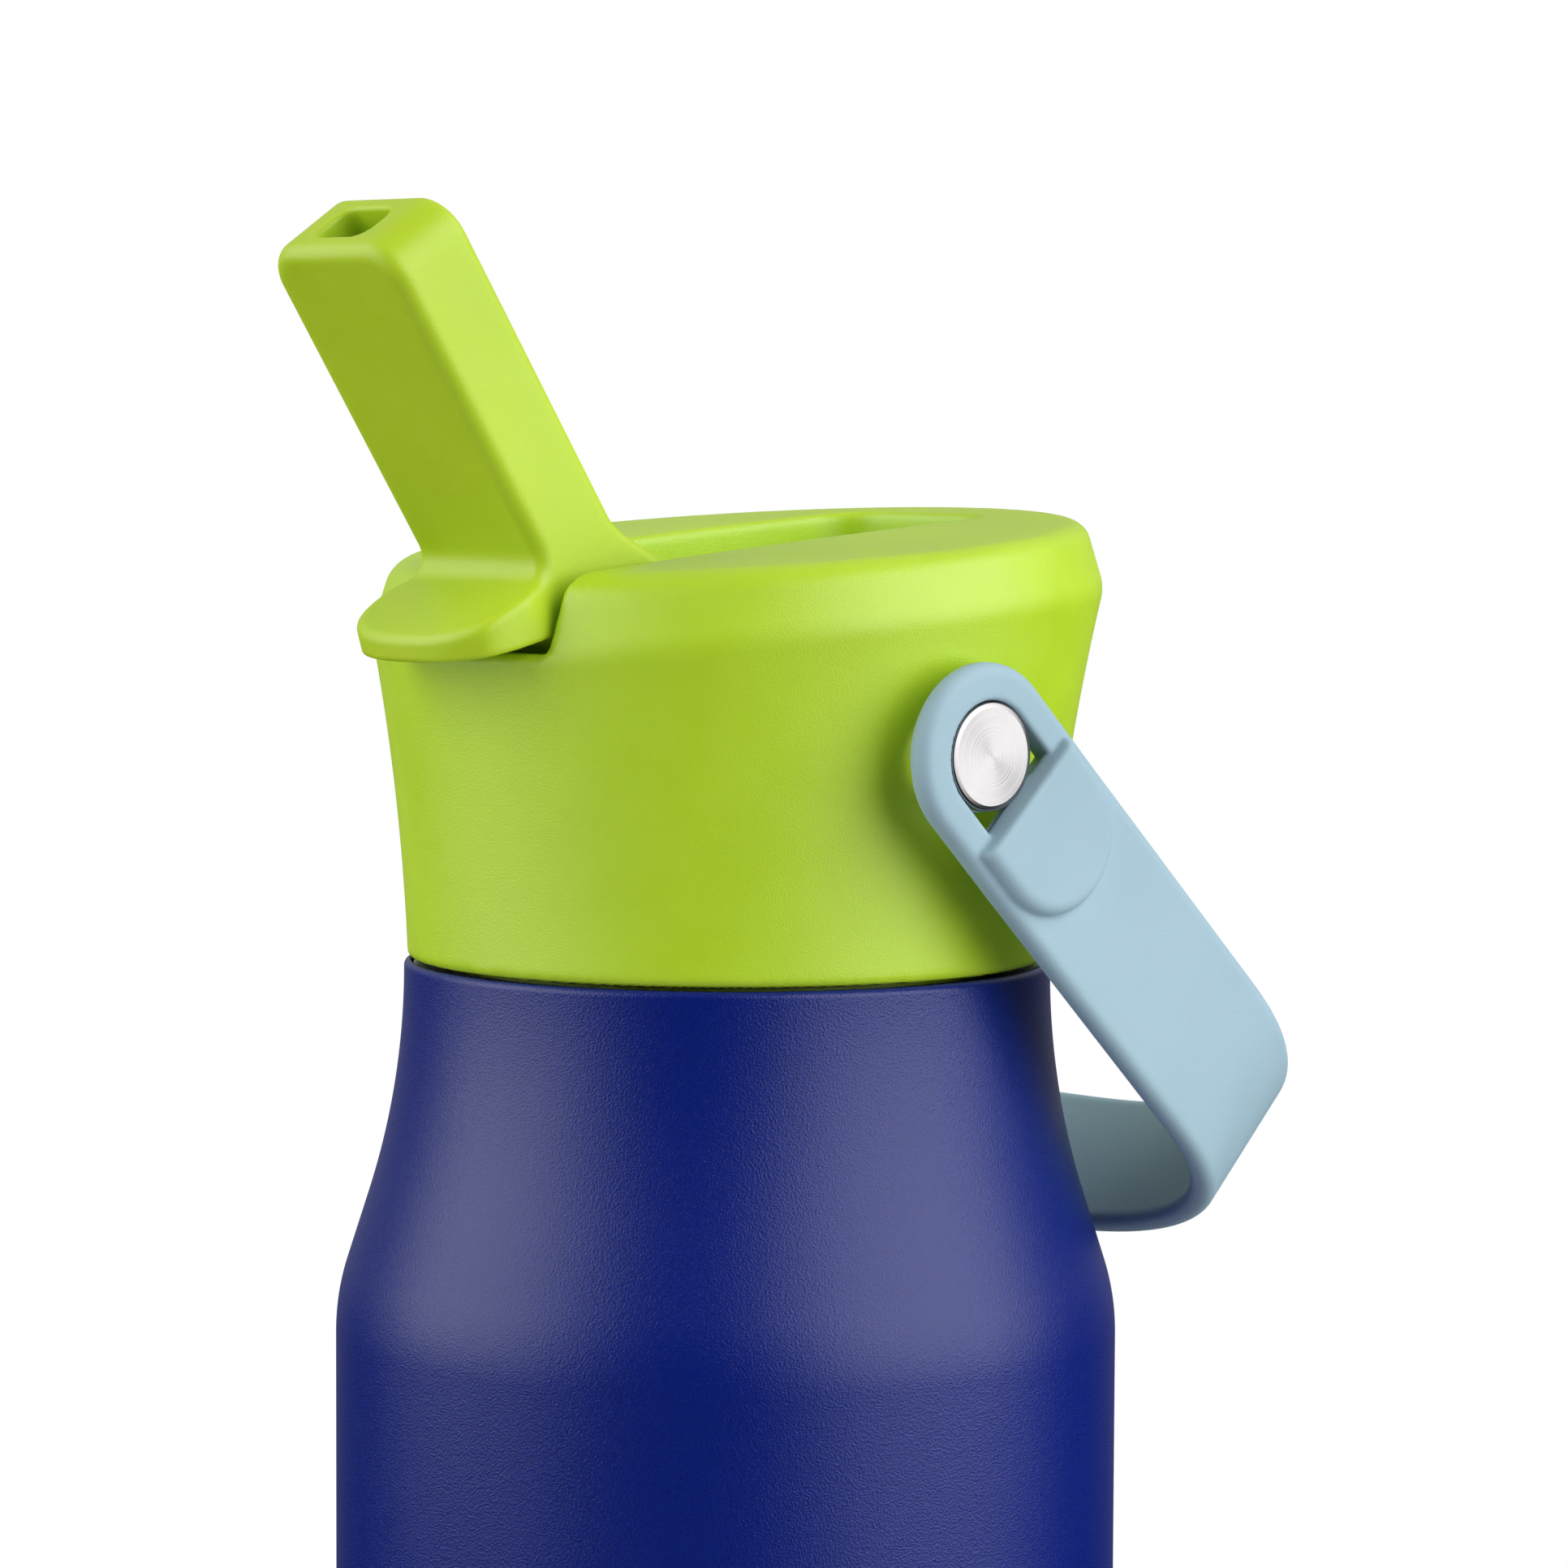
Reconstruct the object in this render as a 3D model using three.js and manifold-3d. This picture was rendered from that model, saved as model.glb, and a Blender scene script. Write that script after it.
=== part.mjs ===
// Insulated kids water bottle: steel vacuum bottle, screw lid with a flip spout, swinging carry handle.
// Millimetres, +Z up. The origin is the centre of the flat base, and the spout side faces -Y.
import * as THREE from "three";
import { mergeVertices } from "three/addons/utils/BufferGeometryUtils.js";
import Module from "manifold-3d";

const wasm = await Module();
wasm.setup();

// ---------- driving dimensions ----------

const GAP = 0.3; // clearance between pieces that touch
const ROUND = 36; // facets round a large turned piece
const SMALL_ROUND = 16; // facets round a small turned piece

// Bottle
const BODY_R = 36.5;
const NECK_R = 30.15;
const SHELL_WALL = 0.5;
const LINER_WALL = 0.5;
const SEAM_Z = 140; // height of the joint between bottle and lid
const RIM_Z = SEAM_Z - 0.5; // top of the bottle's mouth
const NECK_END_Z = SEAM_Z - 0.9; // the neck's straight tangent point
const NECK_ARC_R = 70; // hollow curve from neck to shoulder
const SHOULDER_ARC_R = 22; // round curve from shoulder to wall
const SHOULDER_SLOPE = 17.7; // degrees from vertical, between the two curves
const MOUTH_R = 27; // inside the liner's neck
const LINER_R = 33.3; // inside the liner
const LINER_FLOOR_Z = 9;

// Screw thread, right-hand, one start
const THREAD_LEAD = 5;
const THREAD_TURNS = 1.25;
const THREAD_ROOT_H = 1.9;
const THREAD_CREST_H = 0.9;
const MOUTH_CREST_R = 26;
const PLUG_R = 25.4;
const PLUG_CREST_R = 26.6;
const MOUTH_THREAD_Z = SEAM_Z - 11.5; // lowest point of the mouth's ridge

// Lid: a flared round cap whose widest edge and flat top both rise towards the back
const LID_FLARE = [29.8, 0.0511, 0.002407]; // radius = a + b z + c z^2, z above the seam
const LID_EDGE = [33.44, 0.083, -0.00145]; // height of the widest edge over y
const LID_TOP = [38.76, 0.084]; // height of the top face over y
const LID_EDGE_Y = 34.2; // reach of the widest edge along y
const LID_WALL = 1.7;
const LID_BOTTOM = 0.2;

// Spout and the slot that it folds into
const HUB_Y = -20.5;
const HUB_Z = SEAM_Z + 31.3;
const HUB_R = 7.6;
const SPOUT_LEAN = 33.54; // degrees forward of vertical, open
const SPOUT_HALF_W = 8.7;
const SPOUT_LENGTH = 42.8; // hub axis to tip
const SPOUT_FRONT = -4.3;
const SPOUT_BACK = 4.5;
const TAB_HALF_W = 10;
const SLOT_HALF_W = 10.4;
const SLOT_END_Y = 25.2;
const SLOT_CORNER_R = 5;
const NOTCH_Z = SEAM_Z + 29.3;
const WELL_Z = SEAM_Z + 22.9;
const WELL_Y = [-29.4, -11];
const SLOT_WALL = 1.6;
const PIN_R = 1.25;

// Handle and its pivots
const PIVOT_Y = -2.2;
const PIVOT_Z = SEAM_Z + 20.53;
const HANDLE_DROOP = 44.5; // degrees below level at rest
const STRAP_IN_X = 34.6;
const STRAP_T = 2.5;
const STRAP_HALF_W = 8.25;
const CROSSBAR_HALF_W = 7.25;
const EYELET_R = 8.35;
const ARM_LENGTH = 40; // pivot to the start of the bend
const BEND_LENGTH = 22; // start of the bend to the crossbar
const BEND_POWER = 2.5; // how square the bend is
const BUTTON_R = 4.62;
const BUTTON_T = 1.4;
const BUTTON_X = 36.2; // underside of the button's head
const SHANK_R = 1.6;
const BUSH_R = 3;
const BOSS_FACE_X = 34.25;

// Straw
const STRAW_Y = -17;
const STRAW_R = 3.2;
const STRAW_BORE_R = 2.5;

// ---------- helpers ----------

const rad = THREE.MathUtils.degToRad;
const v2 = (x, y) => new THREE.Vector2(x, y);

function arc(x, y, radius, from, to, steps) {
  const points = [];
  for (let i = 0; i <= steps; i++) {
    const a = rad(from + ((to - from) * i) / steps);
    points.push(v2(x + radius * Math.cos(a), y + radius * Math.sin(a)));
  }
  return points;
}

// One closed mesh: shared corners merged and empty triangles dropped.
function weld(geometry) {
  geometry.deleteAttribute("normal");
  geometry.deleteAttribute("uv");
  const merged = mergeVertices(geometry, 1e-4);
  const corners = merged.index.array;
  const kept = [];
  for (let i = 0; i < corners.length; i += 3) {
    const [a, b, c] = [corners[i], corners[i + 1], corners[i + 2]];
    if (a !== b && b !== c && c !== a) kept.push(a, b, c);
  }
  merged.setIndex(kept);
  return merged;
}

function solid(geometry) {
  const closed = weld(geometry);
  const vertProperties = Float32Array.from(closed.attributes.position.array);
  const triVerts = Uint32Array.from(closed.index.array);
  return new wasm.Manifold(new wasm.Mesh({ numProp: 3, vertProperties, triVerts }));
}

function geometryOf(body) {
  const mesh = body.getMesh();
  const geometry = new THREE.BufferGeometry();
  const positions = new Float32Array((mesh.vertProperties.length / mesh.numProp) * 3);
  for (let i = 0; i < positions.length / 3; i++) {
    for (let k = 0; k < 3; k++) positions[3 * i + k] = mesh.vertProperties[mesh.numProp * i + k];
  }
  geometry.setAttribute("position", new THREE.BufferAttribute(positions, 3));
  geometry.setIndex([...mesh.triVerts]);
  return geometry;
}

// A profile of (radius, height) turned about the Z axis through (x, y).
function turned(points, { x = 0, y = 0, facets = ROUND } = {}) {
  const geometry = new THREE.LatheGeometry(points, facets);
  geometry.rotateX(Math.PI / 2);
  geometry.translate(x, y, 0);
  return geometry;
}

// The same about the X axis through (y, z): heights become x, and side -1 mirrors it to -X.
function turnedX(points, { y, z, side = 1, facets = SMALL_ROUND }) {
  const geometry = new THREE.LatheGeometry(points, facets);
  geometry.rotateZ(-Math.PI / 2);
  if (side < 0) geometry.rotateY(Math.PI);
  geometry.translate(0, y, z);
  return geometry;
}

const disc = (radius, low, high) => [v2(0, low), v2(radius, low), v2(radius, high), v2(0, high)];
const ring = (inner, outer, low, high) => [
  v2(inner, low), v2(outer, low), v2(outer, high), v2(inner, high), v2(inner, low),
];
const rod = (radius, low, high, place) => solid(turned(disc(radius, low, high), { facets: SMALL_ROUND, ...place }));
const rodX = (radius, low, high, place) => solid(turnedX(disc(radius, low, high), place));

// An outline in the YZ plane, pushed from x0 to x1.
function alongX(points, x0, x1) {
  const shape = new THREE.Shape(points);
  const geometry = new THREE.ExtrudeGeometry(shape, { depth: x1 - x0, bevelEnabled: false, steps: 1 });
  const axes = new THREE.Matrix4().makeBasis(
    new THREE.Vector3(0, 1, 0), new THREE.Vector3(0, 0, 1), new THREE.Vector3(1, 0, 0),
  );
  geometry.applyMatrix4(axes);
  geometry.translate(x0, 0, 0);
  return solid(geometry);
}

// An outline in the XY plane, pushed from z0 to z1.
function alongZ(points, z0, z1) {
  const shape = new THREE.Shape(points);
  const geometry = new THREE.ExtrudeGeometry(shape, { depth: z1 - z0, bevelEnabled: false, steps: 1 });
  geometry.translate(0, 0, z0);
  return solid(geometry);
}

// A closed body through rings of equal point counts, counter-clockwise as seen from the last ring's side.
function loft(rings) {
  const count = rings[0].length;
  const positions = rings.flat().flatMap((p) => [p.x, p.y, p.z]);
  const index = [];
  for (let i = 0; i + 1 < rings.length; i++) {
    for (let j = 0; j < count; j++) {
      const [a, b] = [i * count + j, i * count + ((j + 1) % count)];
      index.push(a, b, b + count, a, b + count, a + count);
    }
  }
  for (const [at, flip] of [[0, true], [rings.length - 1, false]]) {
    const middle = new THREE.Vector3();
    for (const p of rings[at]) middle.addScaledVector(p, 1 / count);
    const centre = positions.length / 3;
    positions.push(middle.x, middle.y, middle.z);
    for (let j = 0; j < count; j++) {
      const [a, b] = [at * count + j, at * count + ((j + 1) % count)];
      index.push(...(flip ? [b, a, centre] : [a, b, centre]));
    }
  }
  const geometry = new THREE.BufferGeometry();
  geometry.setAttribute("position", new THREE.Float32BufferAttribute(positions, 3));
  geometry.setIndex(index);
  return solid(geometry);
}

// A helical ridge from radius root to radius crest, its lowest turn starting at height z.
function threadRidge(root, crest, z) {
  const stepsPerTurn = 24;
  const steps = stepsPerTurn * THREAD_TURNS;
  const rings = [];
  for (let i = 0; i <= steps; i++) {
    const a = (2 * Math.PI * i) / stepsPerTurn;
    const middle = z + (THREAD_LEAD * i) / stepsPerTurn;
    const runOut = Math.min(1, 0.3 + Math.min(i, steps - i) / 4);
    const tip = root + (crest - root) * runOut;
    const foot = [root, THREAD_ROOT_H / 2];
    const top = [tip, THREAD_CREST_H / 2];
    const [[innerR, innerH], [outerR, outerH]] = crest > root ? [foot, top] : [top, foot];
    const section = [[innerR, -innerH], [innerR, innerH], [outerR, outerH], [outerR, -outerH]];
    rings.push(section.map(([r, h]) => new THREE.Vector3(r * Math.cos(a), r * Math.sin(a), middle + h)));
  }
  return loft(rings);
}

// ---------- bottle ----------

// The outer line from the shoulder up to the neck, moved inwards by inset.
function shoulderLine(inset) {
  const neckX = NECK_R + NECK_ARC_R;
  const slope = rad(SHOULDER_SLOPE);
  const hollowEnd = v2(neckX - NECK_ARC_R * Math.cos(slope), NECK_END_Z - NECK_ARC_R * Math.sin(slope));
  const roundTop = BODY_R - SHOULDER_ARC_R * (1 - Math.cos(slope));
  const drop = (roundTop - hollowEnd.x) / Math.tan(slope);
  const wallTop = hollowEnd.y - drop - SHOULDER_ARC_R * Math.sin(slope);
  const round = arc(BODY_R - SHOULDER_ARC_R, wallTop, SHOULDER_ARC_R - inset, 0, SHOULDER_SLOPE, 3);
  const hollow = arc(neckX, NECK_END_Z, NECK_ARC_R + inset, 180 + SHOULDER_SLOPE, 180, 5);
  return [...round, ...hollow];
}

function outerShell() {
  const rimR = 0.9;
  const toe = 3.2; // the wall's foot turns in to meet the base cover
  const inner = [v2(NECK_R - SHELL_WALL, RIM_Z), ...shoulderLine(SHELL_WALL).reverse()];
  return turned([
    ...arc(BODY_R - toe, toe + 0.6, toe, -60, 0, 3),
    ...shoulderLine(0),
    ...arc(NECK_R - rimR, RIM_Z - rimR, rimR, 15, 60, 2),
    ...inner,
    ...arc(BODY_R - toe, toe + 0.6, toe - SHELL_WALL, 0, -60, 3),
    arc(BODY_R - toe, toe + 0.6, toe, -60, 0, 3)[0],
  ]);
}

function innerLiner() {
  const shoulder = (wall, steps) => {
    const points = [];
    for (let i = 0; i <= steps; i++) {
      const u = i / steps;
      const blend = u * u * (3 - 2 * u);
      points.push(v2(MOUTH_R + wall + (LINER_R - MOUTH_R) * blend, SEAM_Z - 14 - 24 * u));
    }
    return points;
  };
  const corner = 5;
  const z = LINER_FLOOR_Z;
  const cup = turned([
    v2(0, z - LINER_WALL),
    ...arc(LINER_R - corner, z + corner, corner + LINER_WALL, -90, 0, 4),
    ...shoulder(LINER_WALL, 6).reverse(),
    v2(MOUTH_R + LINER_WALL, RIM_Z - LINER_WALL),
    v2(NECK_R - SHELL_WALL - GAP, RIM_Z - LINER_WALL),
    v2(NECK_R - SHELL_WALL - GAP, RIM_Z),
    v2(MOUTH_R, RIM_Z),
    ...shoulder(0, 6),
    ...arc(LINER_R - corner, z + corner, corner, 0, -90, 4),
    v2(0, z),
  ]);
  return geometryOf(solid(cup).add(threadRidge(MOUTH_R + 0.2, MOUTH_CREST_R, MOUTH_THREAD_Z)));
}

const VACUUM_BASE_Z = 5.2;
const DIMPLE_R = 4;

function vacuumBase() {
  const z = VACUUM_BASE_Z;
  const edge = BODY_R - SHELL_WALL - GAP;
  return turned([
    v2(1, z + 1.6), v2(DIMPLE_R - 1, z + 1.6), v2(DIMPLE_R, z), v2(edge, z), v2(edge, z + 3),
    v2(edge - 0.7, z + 3), v2(edge - 0.7, z + 0.7), v2(DIMPLE_R + 0.4, z + 0.7), v2(DIMPLE_R - 0.6, z + 2.3),
    v2(1, z + 2.3), v2(1, z + 1.6),
  ]);
}

// Solder bead that closes the pump-out hole in the dimple.
function sealBead() {
  const z = VACUUM_BASE_Z;
  return turned([v2(0, z), v2(1.5, z), v2(2.2, z + 0.5), v2(2.2, z + 1), v2(1.2, z + 1.3), v2(0, z + 1.3)],
    { facets: SMALL_ROUND });
}

// Pill that soaks up gas in the vacuum space.
function getter() {
  return turned(disc(4, VACUUM_BASE_Z + 1, VACUUM_BASE_Z + 2.2), { x: 16, facets: SMALL_ROUND });
}

function baseCover() {
  const edge = 34.3;
  return turned([v2(0, 0), v2(edge - 1.2, 0), v2(edge - 0.3, 0.4), v2(edge, 1.2), v2(edge, 4.4),
    v2(edge - 0.8, 4.4), v2(edge - 0.8, 1.4), v2(edge - 1.5, 0.8), v2(0, 0.8)]);
}

// ---------- lid ----------

const lidFlare = (z) => LID_FLARE[0] + LID_FLARE[1] * z + LID_FLARE[2] * z * z;
const lidTop = (y) => LID_TOP[0] + LID_TOP[1] * y;

// The lid's outer skin, moved inwards by inset; an inset body is open downwards past the lid's bottom.
function lidBody(inset) {
  // Shoulder of the lid from its widest edge to its top: share of the height, and how far it steps in.
  const shoulder = [[0.3, 0.45], [0.58, 1.05], [0.8, 1.65], [0.93, 2.35], [1, 3.5]];
  const rows = 6;
  const rings = Array.from({ length: 3 + rows + shoulder.length }, () => []);
  for (let j = 0; j < ROUND; j++) {
    const a = (2 * Math.PI * j) / ROUND;
    const y = LID_EDGE_Y * Math.sin(a);
    const edgeZ = LID_EDGE[0] + LID_EDGE[1] * y + LID_EDGE[2] * y * y;
    const edgeR = lidFlare(edgeZ);
    const put = (row, r, z) => {
      rings[row].push(new THREE.Vector3((r - inset) * Math.cos(a), (r - inset) * Math.sin(a), SEAM_Z + z));
    };
    put(0, LID_FLARE[0] - (inset ? 0 : 0.8), inset ? -2 : LID_BOTTOM);
    put(1, LID_FLARE[0], LID_BOTTOM + 0.7);
    for (let k = 1; k <= rows; k++) {
      const z = LID_BOTTOM + 0.7 + ((edgeZ - inset / 2 - LID_BOTTOM - 0.7) * k) / rows;
      put(1 + k, lidFlare(z), z);
    }
    shoulder.forEach(([share, step], k) => {
      const r = edgeR - step;
      const z = edgeZ + (lidTop(r * Math.sin(a)) - edgeZ) * share - inset * 1.1;
      put(2 + rows + k, r, z);
    });
    const innerR = 15;
    put(2 + rows + shoulder.length, innerR, lidTop(innerR * Math.sin(a)) + 0.3 - inset * 1.1);
  }
  return loft(rings);
}

// The spout's slot, seen from above, grown by wall.
function slotPlan(wall) {
  const half = SLOT_HALF_W + wall;
  const end = SLOT_END_Y + wall;
  const r = SLOT_CORNER_R + wall;
  return [v2(-half, -60), v2(half, -60), ...arc(half - r, end - r, r, 0, 90, 5), ...arc(r - half, end - r, r, 90, 180, 5)];
}

// The slot's floor line, seen from the side, sunk by wall: notch at the front, well under the hub, ramp behind.
function slotSide(wall) {
  const [wellFront, wellBack] = WELL_Y;
  const frontWall = wellFront - 1.5 * wall; // thick enough to merge with the lid's outer wall
  const rampZ = (y) => HUB_Z - 5.3 + LID_TOP[1] * (y - HUB_Y) - wall;
  return [
    v2(-60, NOTCH_Z - wall), v2(frontWall, NOTCH_Z - wall), v2(frontWall, WELL_Z - wall),
    v2(wellBack + wall, WELL_Z - wall), v2(wellBack + wall, rampZ(wellBack + wall)),
    v2(40, rampZ(40)), v2(40, SEAM_Z + 70), v2(-60, SEAM_Z + 70),
  ];
}

function slotBody(wall) {
  const half = SLOT_HALF_W + wall;
  return alongX(slotSide(wall), -half, half).intersect(alongZ(slotPlan(wall), SEAM_Z, SEAM_Z + 80));
}

function lidShell() {
  const outer = lidBody(0);
  let body = outer.subtract(lidBody(LID_WALL));
  body = body.add(slotBody(SLOT_WALL).intersect(outer));
  for (const side of [1, -1]) {
    const pivot = { y: PIVOT_Y, z: PIVOT_Z, side };
    body = body.add(rodX(5.6, 29.6, BOSS_FACE_X, { ...pivot, facets: 28 }));
    body = body.add(rodX(5.2, 26.4, 31, pivot));
  }
  body = body.subtract(slotBody(0));
  body = body.subtract(rod(7.4, WELL_Z - 4, WELL_Z + 1, { y: HUB_Y, facets: 24 }));
  for (const side of [1, -1]) {
    body = body.subtract(rodX(BUSH_R + GAP, 27.2, 40, { y: PIVOT_Y, z: PIVOT_Z, side }));
    body = body.subtract(rodX(PIN_R + GAP, SLOT_HALF_W - 1, SLOT_HALF_W + SLOT_WALL + 1, { y: HUB_Y, z: HUB_Z, side }));
  }
  return geometryOf(body);
}

const VENT_Y = 12;
const PLATE_Z = [SEAM_Z + 1.8, SEAM_Z + 4];
const TOWER_TOP_Z = SEAM_Z + 22.3;
const CUP_Z = SEAM_Z + 16;
const SPIGOT_Z = SEAM_Z - 7;

// Inner lid: threaded plug, sealing plate, tower for the spout seal, spigot for the straw.
function lidCore() {
  const skirt = 1.8;
  const [plateLow, plateHigh] = PLATE_Z;
  let body = solid(turned([
    v2(0, plateLow), v2(PLUG_R - skirt, plateLow), v2(PLUG_R - skirt, SEAM_Z - 13), v2(PLUG_R, SEAM_Z - 13),
    v2(PLUG_R, plateLow), v2(27.8, plateLow), v2(27.8, plateHigh), v2(0, plateHigh),
  ]));
  const halfPitch = THREAD_LEAD / 2;
  body = body.add(threadRidge(PLUG_R - 0.2, PLUG_CREST_R, MOUTH_THREAD_Z - halfPitch + THREAD_LEAD));
  body = body.add(rod(6.9, plateHigh - 1, TOWER_TOP_Z, { y: HUB_Y, facets: 24 }));
  body = body.add(rod(3, SPIGOT_Z, plateLow + 1, { y: STRAW_Y }));
  body = body.subtract(rod(5.3, CUP_Z, TOWER_TOP_Z + 1, { y: HUB_Y }));
  body = body.subtract(rod(2.6, plateHigh - 1, CUP_Z + 1, { y: HUB_Y }));
  body = body.subtract(rod(2, SPIGOT_Z - 1, plateHigh - 0.4, { y: STRAW_Y }));
  body = body.subtract(rod(1.5, plateLow - 1, plateHigh + 1, { y: VENT_Y }));
  return geometryOf(body);
}

function neckGasket() {
  return turned(ring(PLUG_R + 0.6, 27.7, RIM_Z + GAP, PLATE_Z[0] - GAP));
}

// Silicone cushion that the spout's barrel turns on.
function spoutSeal() {
  let body = rod(5, CUP_Z + GAP, HUB_Z - 6.4, { y: HUB_Y });
  body = body.subtract(rodX(HUB_R + GAP, -10, 10, { y: HUB_Y, z: HUB_Z, facets: 40 }));
  body = body.subtract(rod(2.6, CUP_Z - 1, HUB_Z, { y: HUB_Y }));
  return geometryOf(body);
}

// Umbrella valve: lets air in through the plate and keeps the drink in.
function ventValve() {
  const [low, high] = PLATE_Z;
  return turned([
    v2(0, low - 1.6), v2(4.2, low - 0.9), v2(4.2, low - GAP), v2(1.2, low - GAP), v2(1.2, high + GAP),
    v2(2.4, high + GAP), v2(1.6, high + 2.2), v2(0, high + 2.6),
  ], { y: VENT_Y, facets: SMALL_ROUND });
}

function strawSocket() {
  const bore = STRAW_R + GAP;
  return turned([
    v2(3 + GAP, PLATE_Z[0] - 0.5), v2(3 + GAP, SPIGOT_Z - 1.5), v2(2.2, SPIGOT_Z - 1.5), v2(2.2, SPIGOT_Z - 3),
    v2(bore, SPIGOT_Z - 3), v2(bore, SPIGOT_Z - 13), v2(bore + 1.4, SPIGOT_Z - 13),
    v2(bore + 1.4, PLATE_Z[0] - 0.5), v2(3 + GAP, PLATE_Z[0] - 0.5),
  ], { y: STRAW_Y, facets: 24 });
}

// Cut at a slant at its foot, so that it can't seal against the floor.
function straw() {
  let body = solid(turned(ring(STRAW_BORE_R, STRAW_R, LINER_FLOOR_Z + 2, SPIGOT_Z - 3.4), { y: STRAW_Y, facets: 24 }));
  const cut = [v2(-40, 0), v2(0, 0), v2(0, LINER_FLOOR_Z + 8), v2(STRAW_Y - 4, LINER_FLOOR_Z + 1.5), v2(-40, 0)];
  body = body.subtract(alongX(cut.slice(0, 4), -10, 10));
  return geometryOf(body);
}

// ---------- spout, in its own frame: origin on its axis, z to the tip, y to its back ----------

function spout() {
  const tipRound = 1.2;
  const backRound = 0.9;
  const top = SPOUT_LENGTH;
  const side = [
    v2(SPOUT_FRONT, 9.5), v2(-6.6, 3.8), ...arc(0, 0, HUB_R, 150, 399, 16), v2(4.9, 6.6), v2(SPOUT_BACK, 9),
    ...arc(SPOUT_BACK - backRound, top - backRound, backRound, 0, 90, 2),
    ...arc(SPOUT_FRONT + tipRound, top - tipRound, tipRound, 90, 180, 2),
  ];
  const cornerR = 3.6;
  const x = SPOUT_HALF_W - cornerR;
  const front = [
    v2(-SPOUT_HALF_W, -12), v2(SPOUT_HALF_W, -12),
    ...arc(x, top - cornerR, cornerR, 0, 90, 4), ...arc(-x, top - cornerR, cornerR, 90, 180, 4),
  ];
  const frontGeometry = new THREE.ExtrudeGeometry(new THREE.Shape(front), { depth: 40, bevelEnabled: false });
  frontGeometry.rotateX(Math.PI / 2);
  frontGeometry.translate(0, 20, 0);
  let body = alongX(side, -SPOUT_HALF_W, SPOUT_HALF_W).intersect(solid(frontGeometry));

  // Thumb tab: a D-shaped shelf in front of the barrel.
  const shelf = [v2(-3, 9.2), v2(-15.6, 9.9), v2(-16.6, 8.9), v2(-17, 7.6), v2(-16.4, 7.4), v2(-10.1, 5.4), v2(-3, 3)];
  const tabMiddleY = -5.5;
  const plan = [v2(TAB_HALF_W, -3), v2(-TAB_HALF_W, -3)];
  for (let a = 205; a <= 335; a += 10) {
    const [c, d] = [Math.cos(rad(a)), Math.sin(rad(a))];
    const reach = 1 / Math.hypot(c / 10.9, d / 11.5) * (1 + 0.1 * Math.sin(2 * rad(a)) ** 2);
    plan.push(v2(THREE.MathUtils.clamp(reach * c, -TAB_HALF_W, TAB_HALF_W), tabMiddleY + reach * d));
  }
  body = body.add(alongX(shelf.reverse(), -TAB_HALF_W, TAB_HALF_W).intersect(alongZ(plan, 0, 14)));

  // Drink channel from the tip to the barrel's axis, then out of the barrel's underside when open.
  const hole = (w, h, r) => [
    ...arc(w - r, h - r, r, 0, 90, 3), ...arc(r - w, h - r, r, 90, 180, 3),
    ...arc(r - w, r - h, r, 180, 270, 3), ...arc(w - r, r - h, r, 270, 360, 3),
  ].map((p) => v2(p.x, p.y - 0.6));
  body = body.subtract(alongZ(hole(3.15, 2.2, 1.8), 0, top + 1));
  const port = turned(disc(2.4, -12, 0.5), { facets: SMALL_ROUND });
  port.rotateX(-rad(SPOUT_LEAN));
  body = body.subtract(solid(port));
  for (const end of [1, -1]) body = body.subtract(rodX(PIN_R + GAP, 4.5, 12, { y: 0, z: 0, side: end }));
  return geometryOf(body);
}

function spoutPin(side) {
  return turnedX(disc(PIN_R, 4.8, SLOT_HALF_W + SLOT_WALL + 0.8), { y: HUB_Y, z: HUB_Z, side });
}

// ---------- handle, in its own frame: origin on its axis, y along the arms, z across the strap ----------

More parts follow.
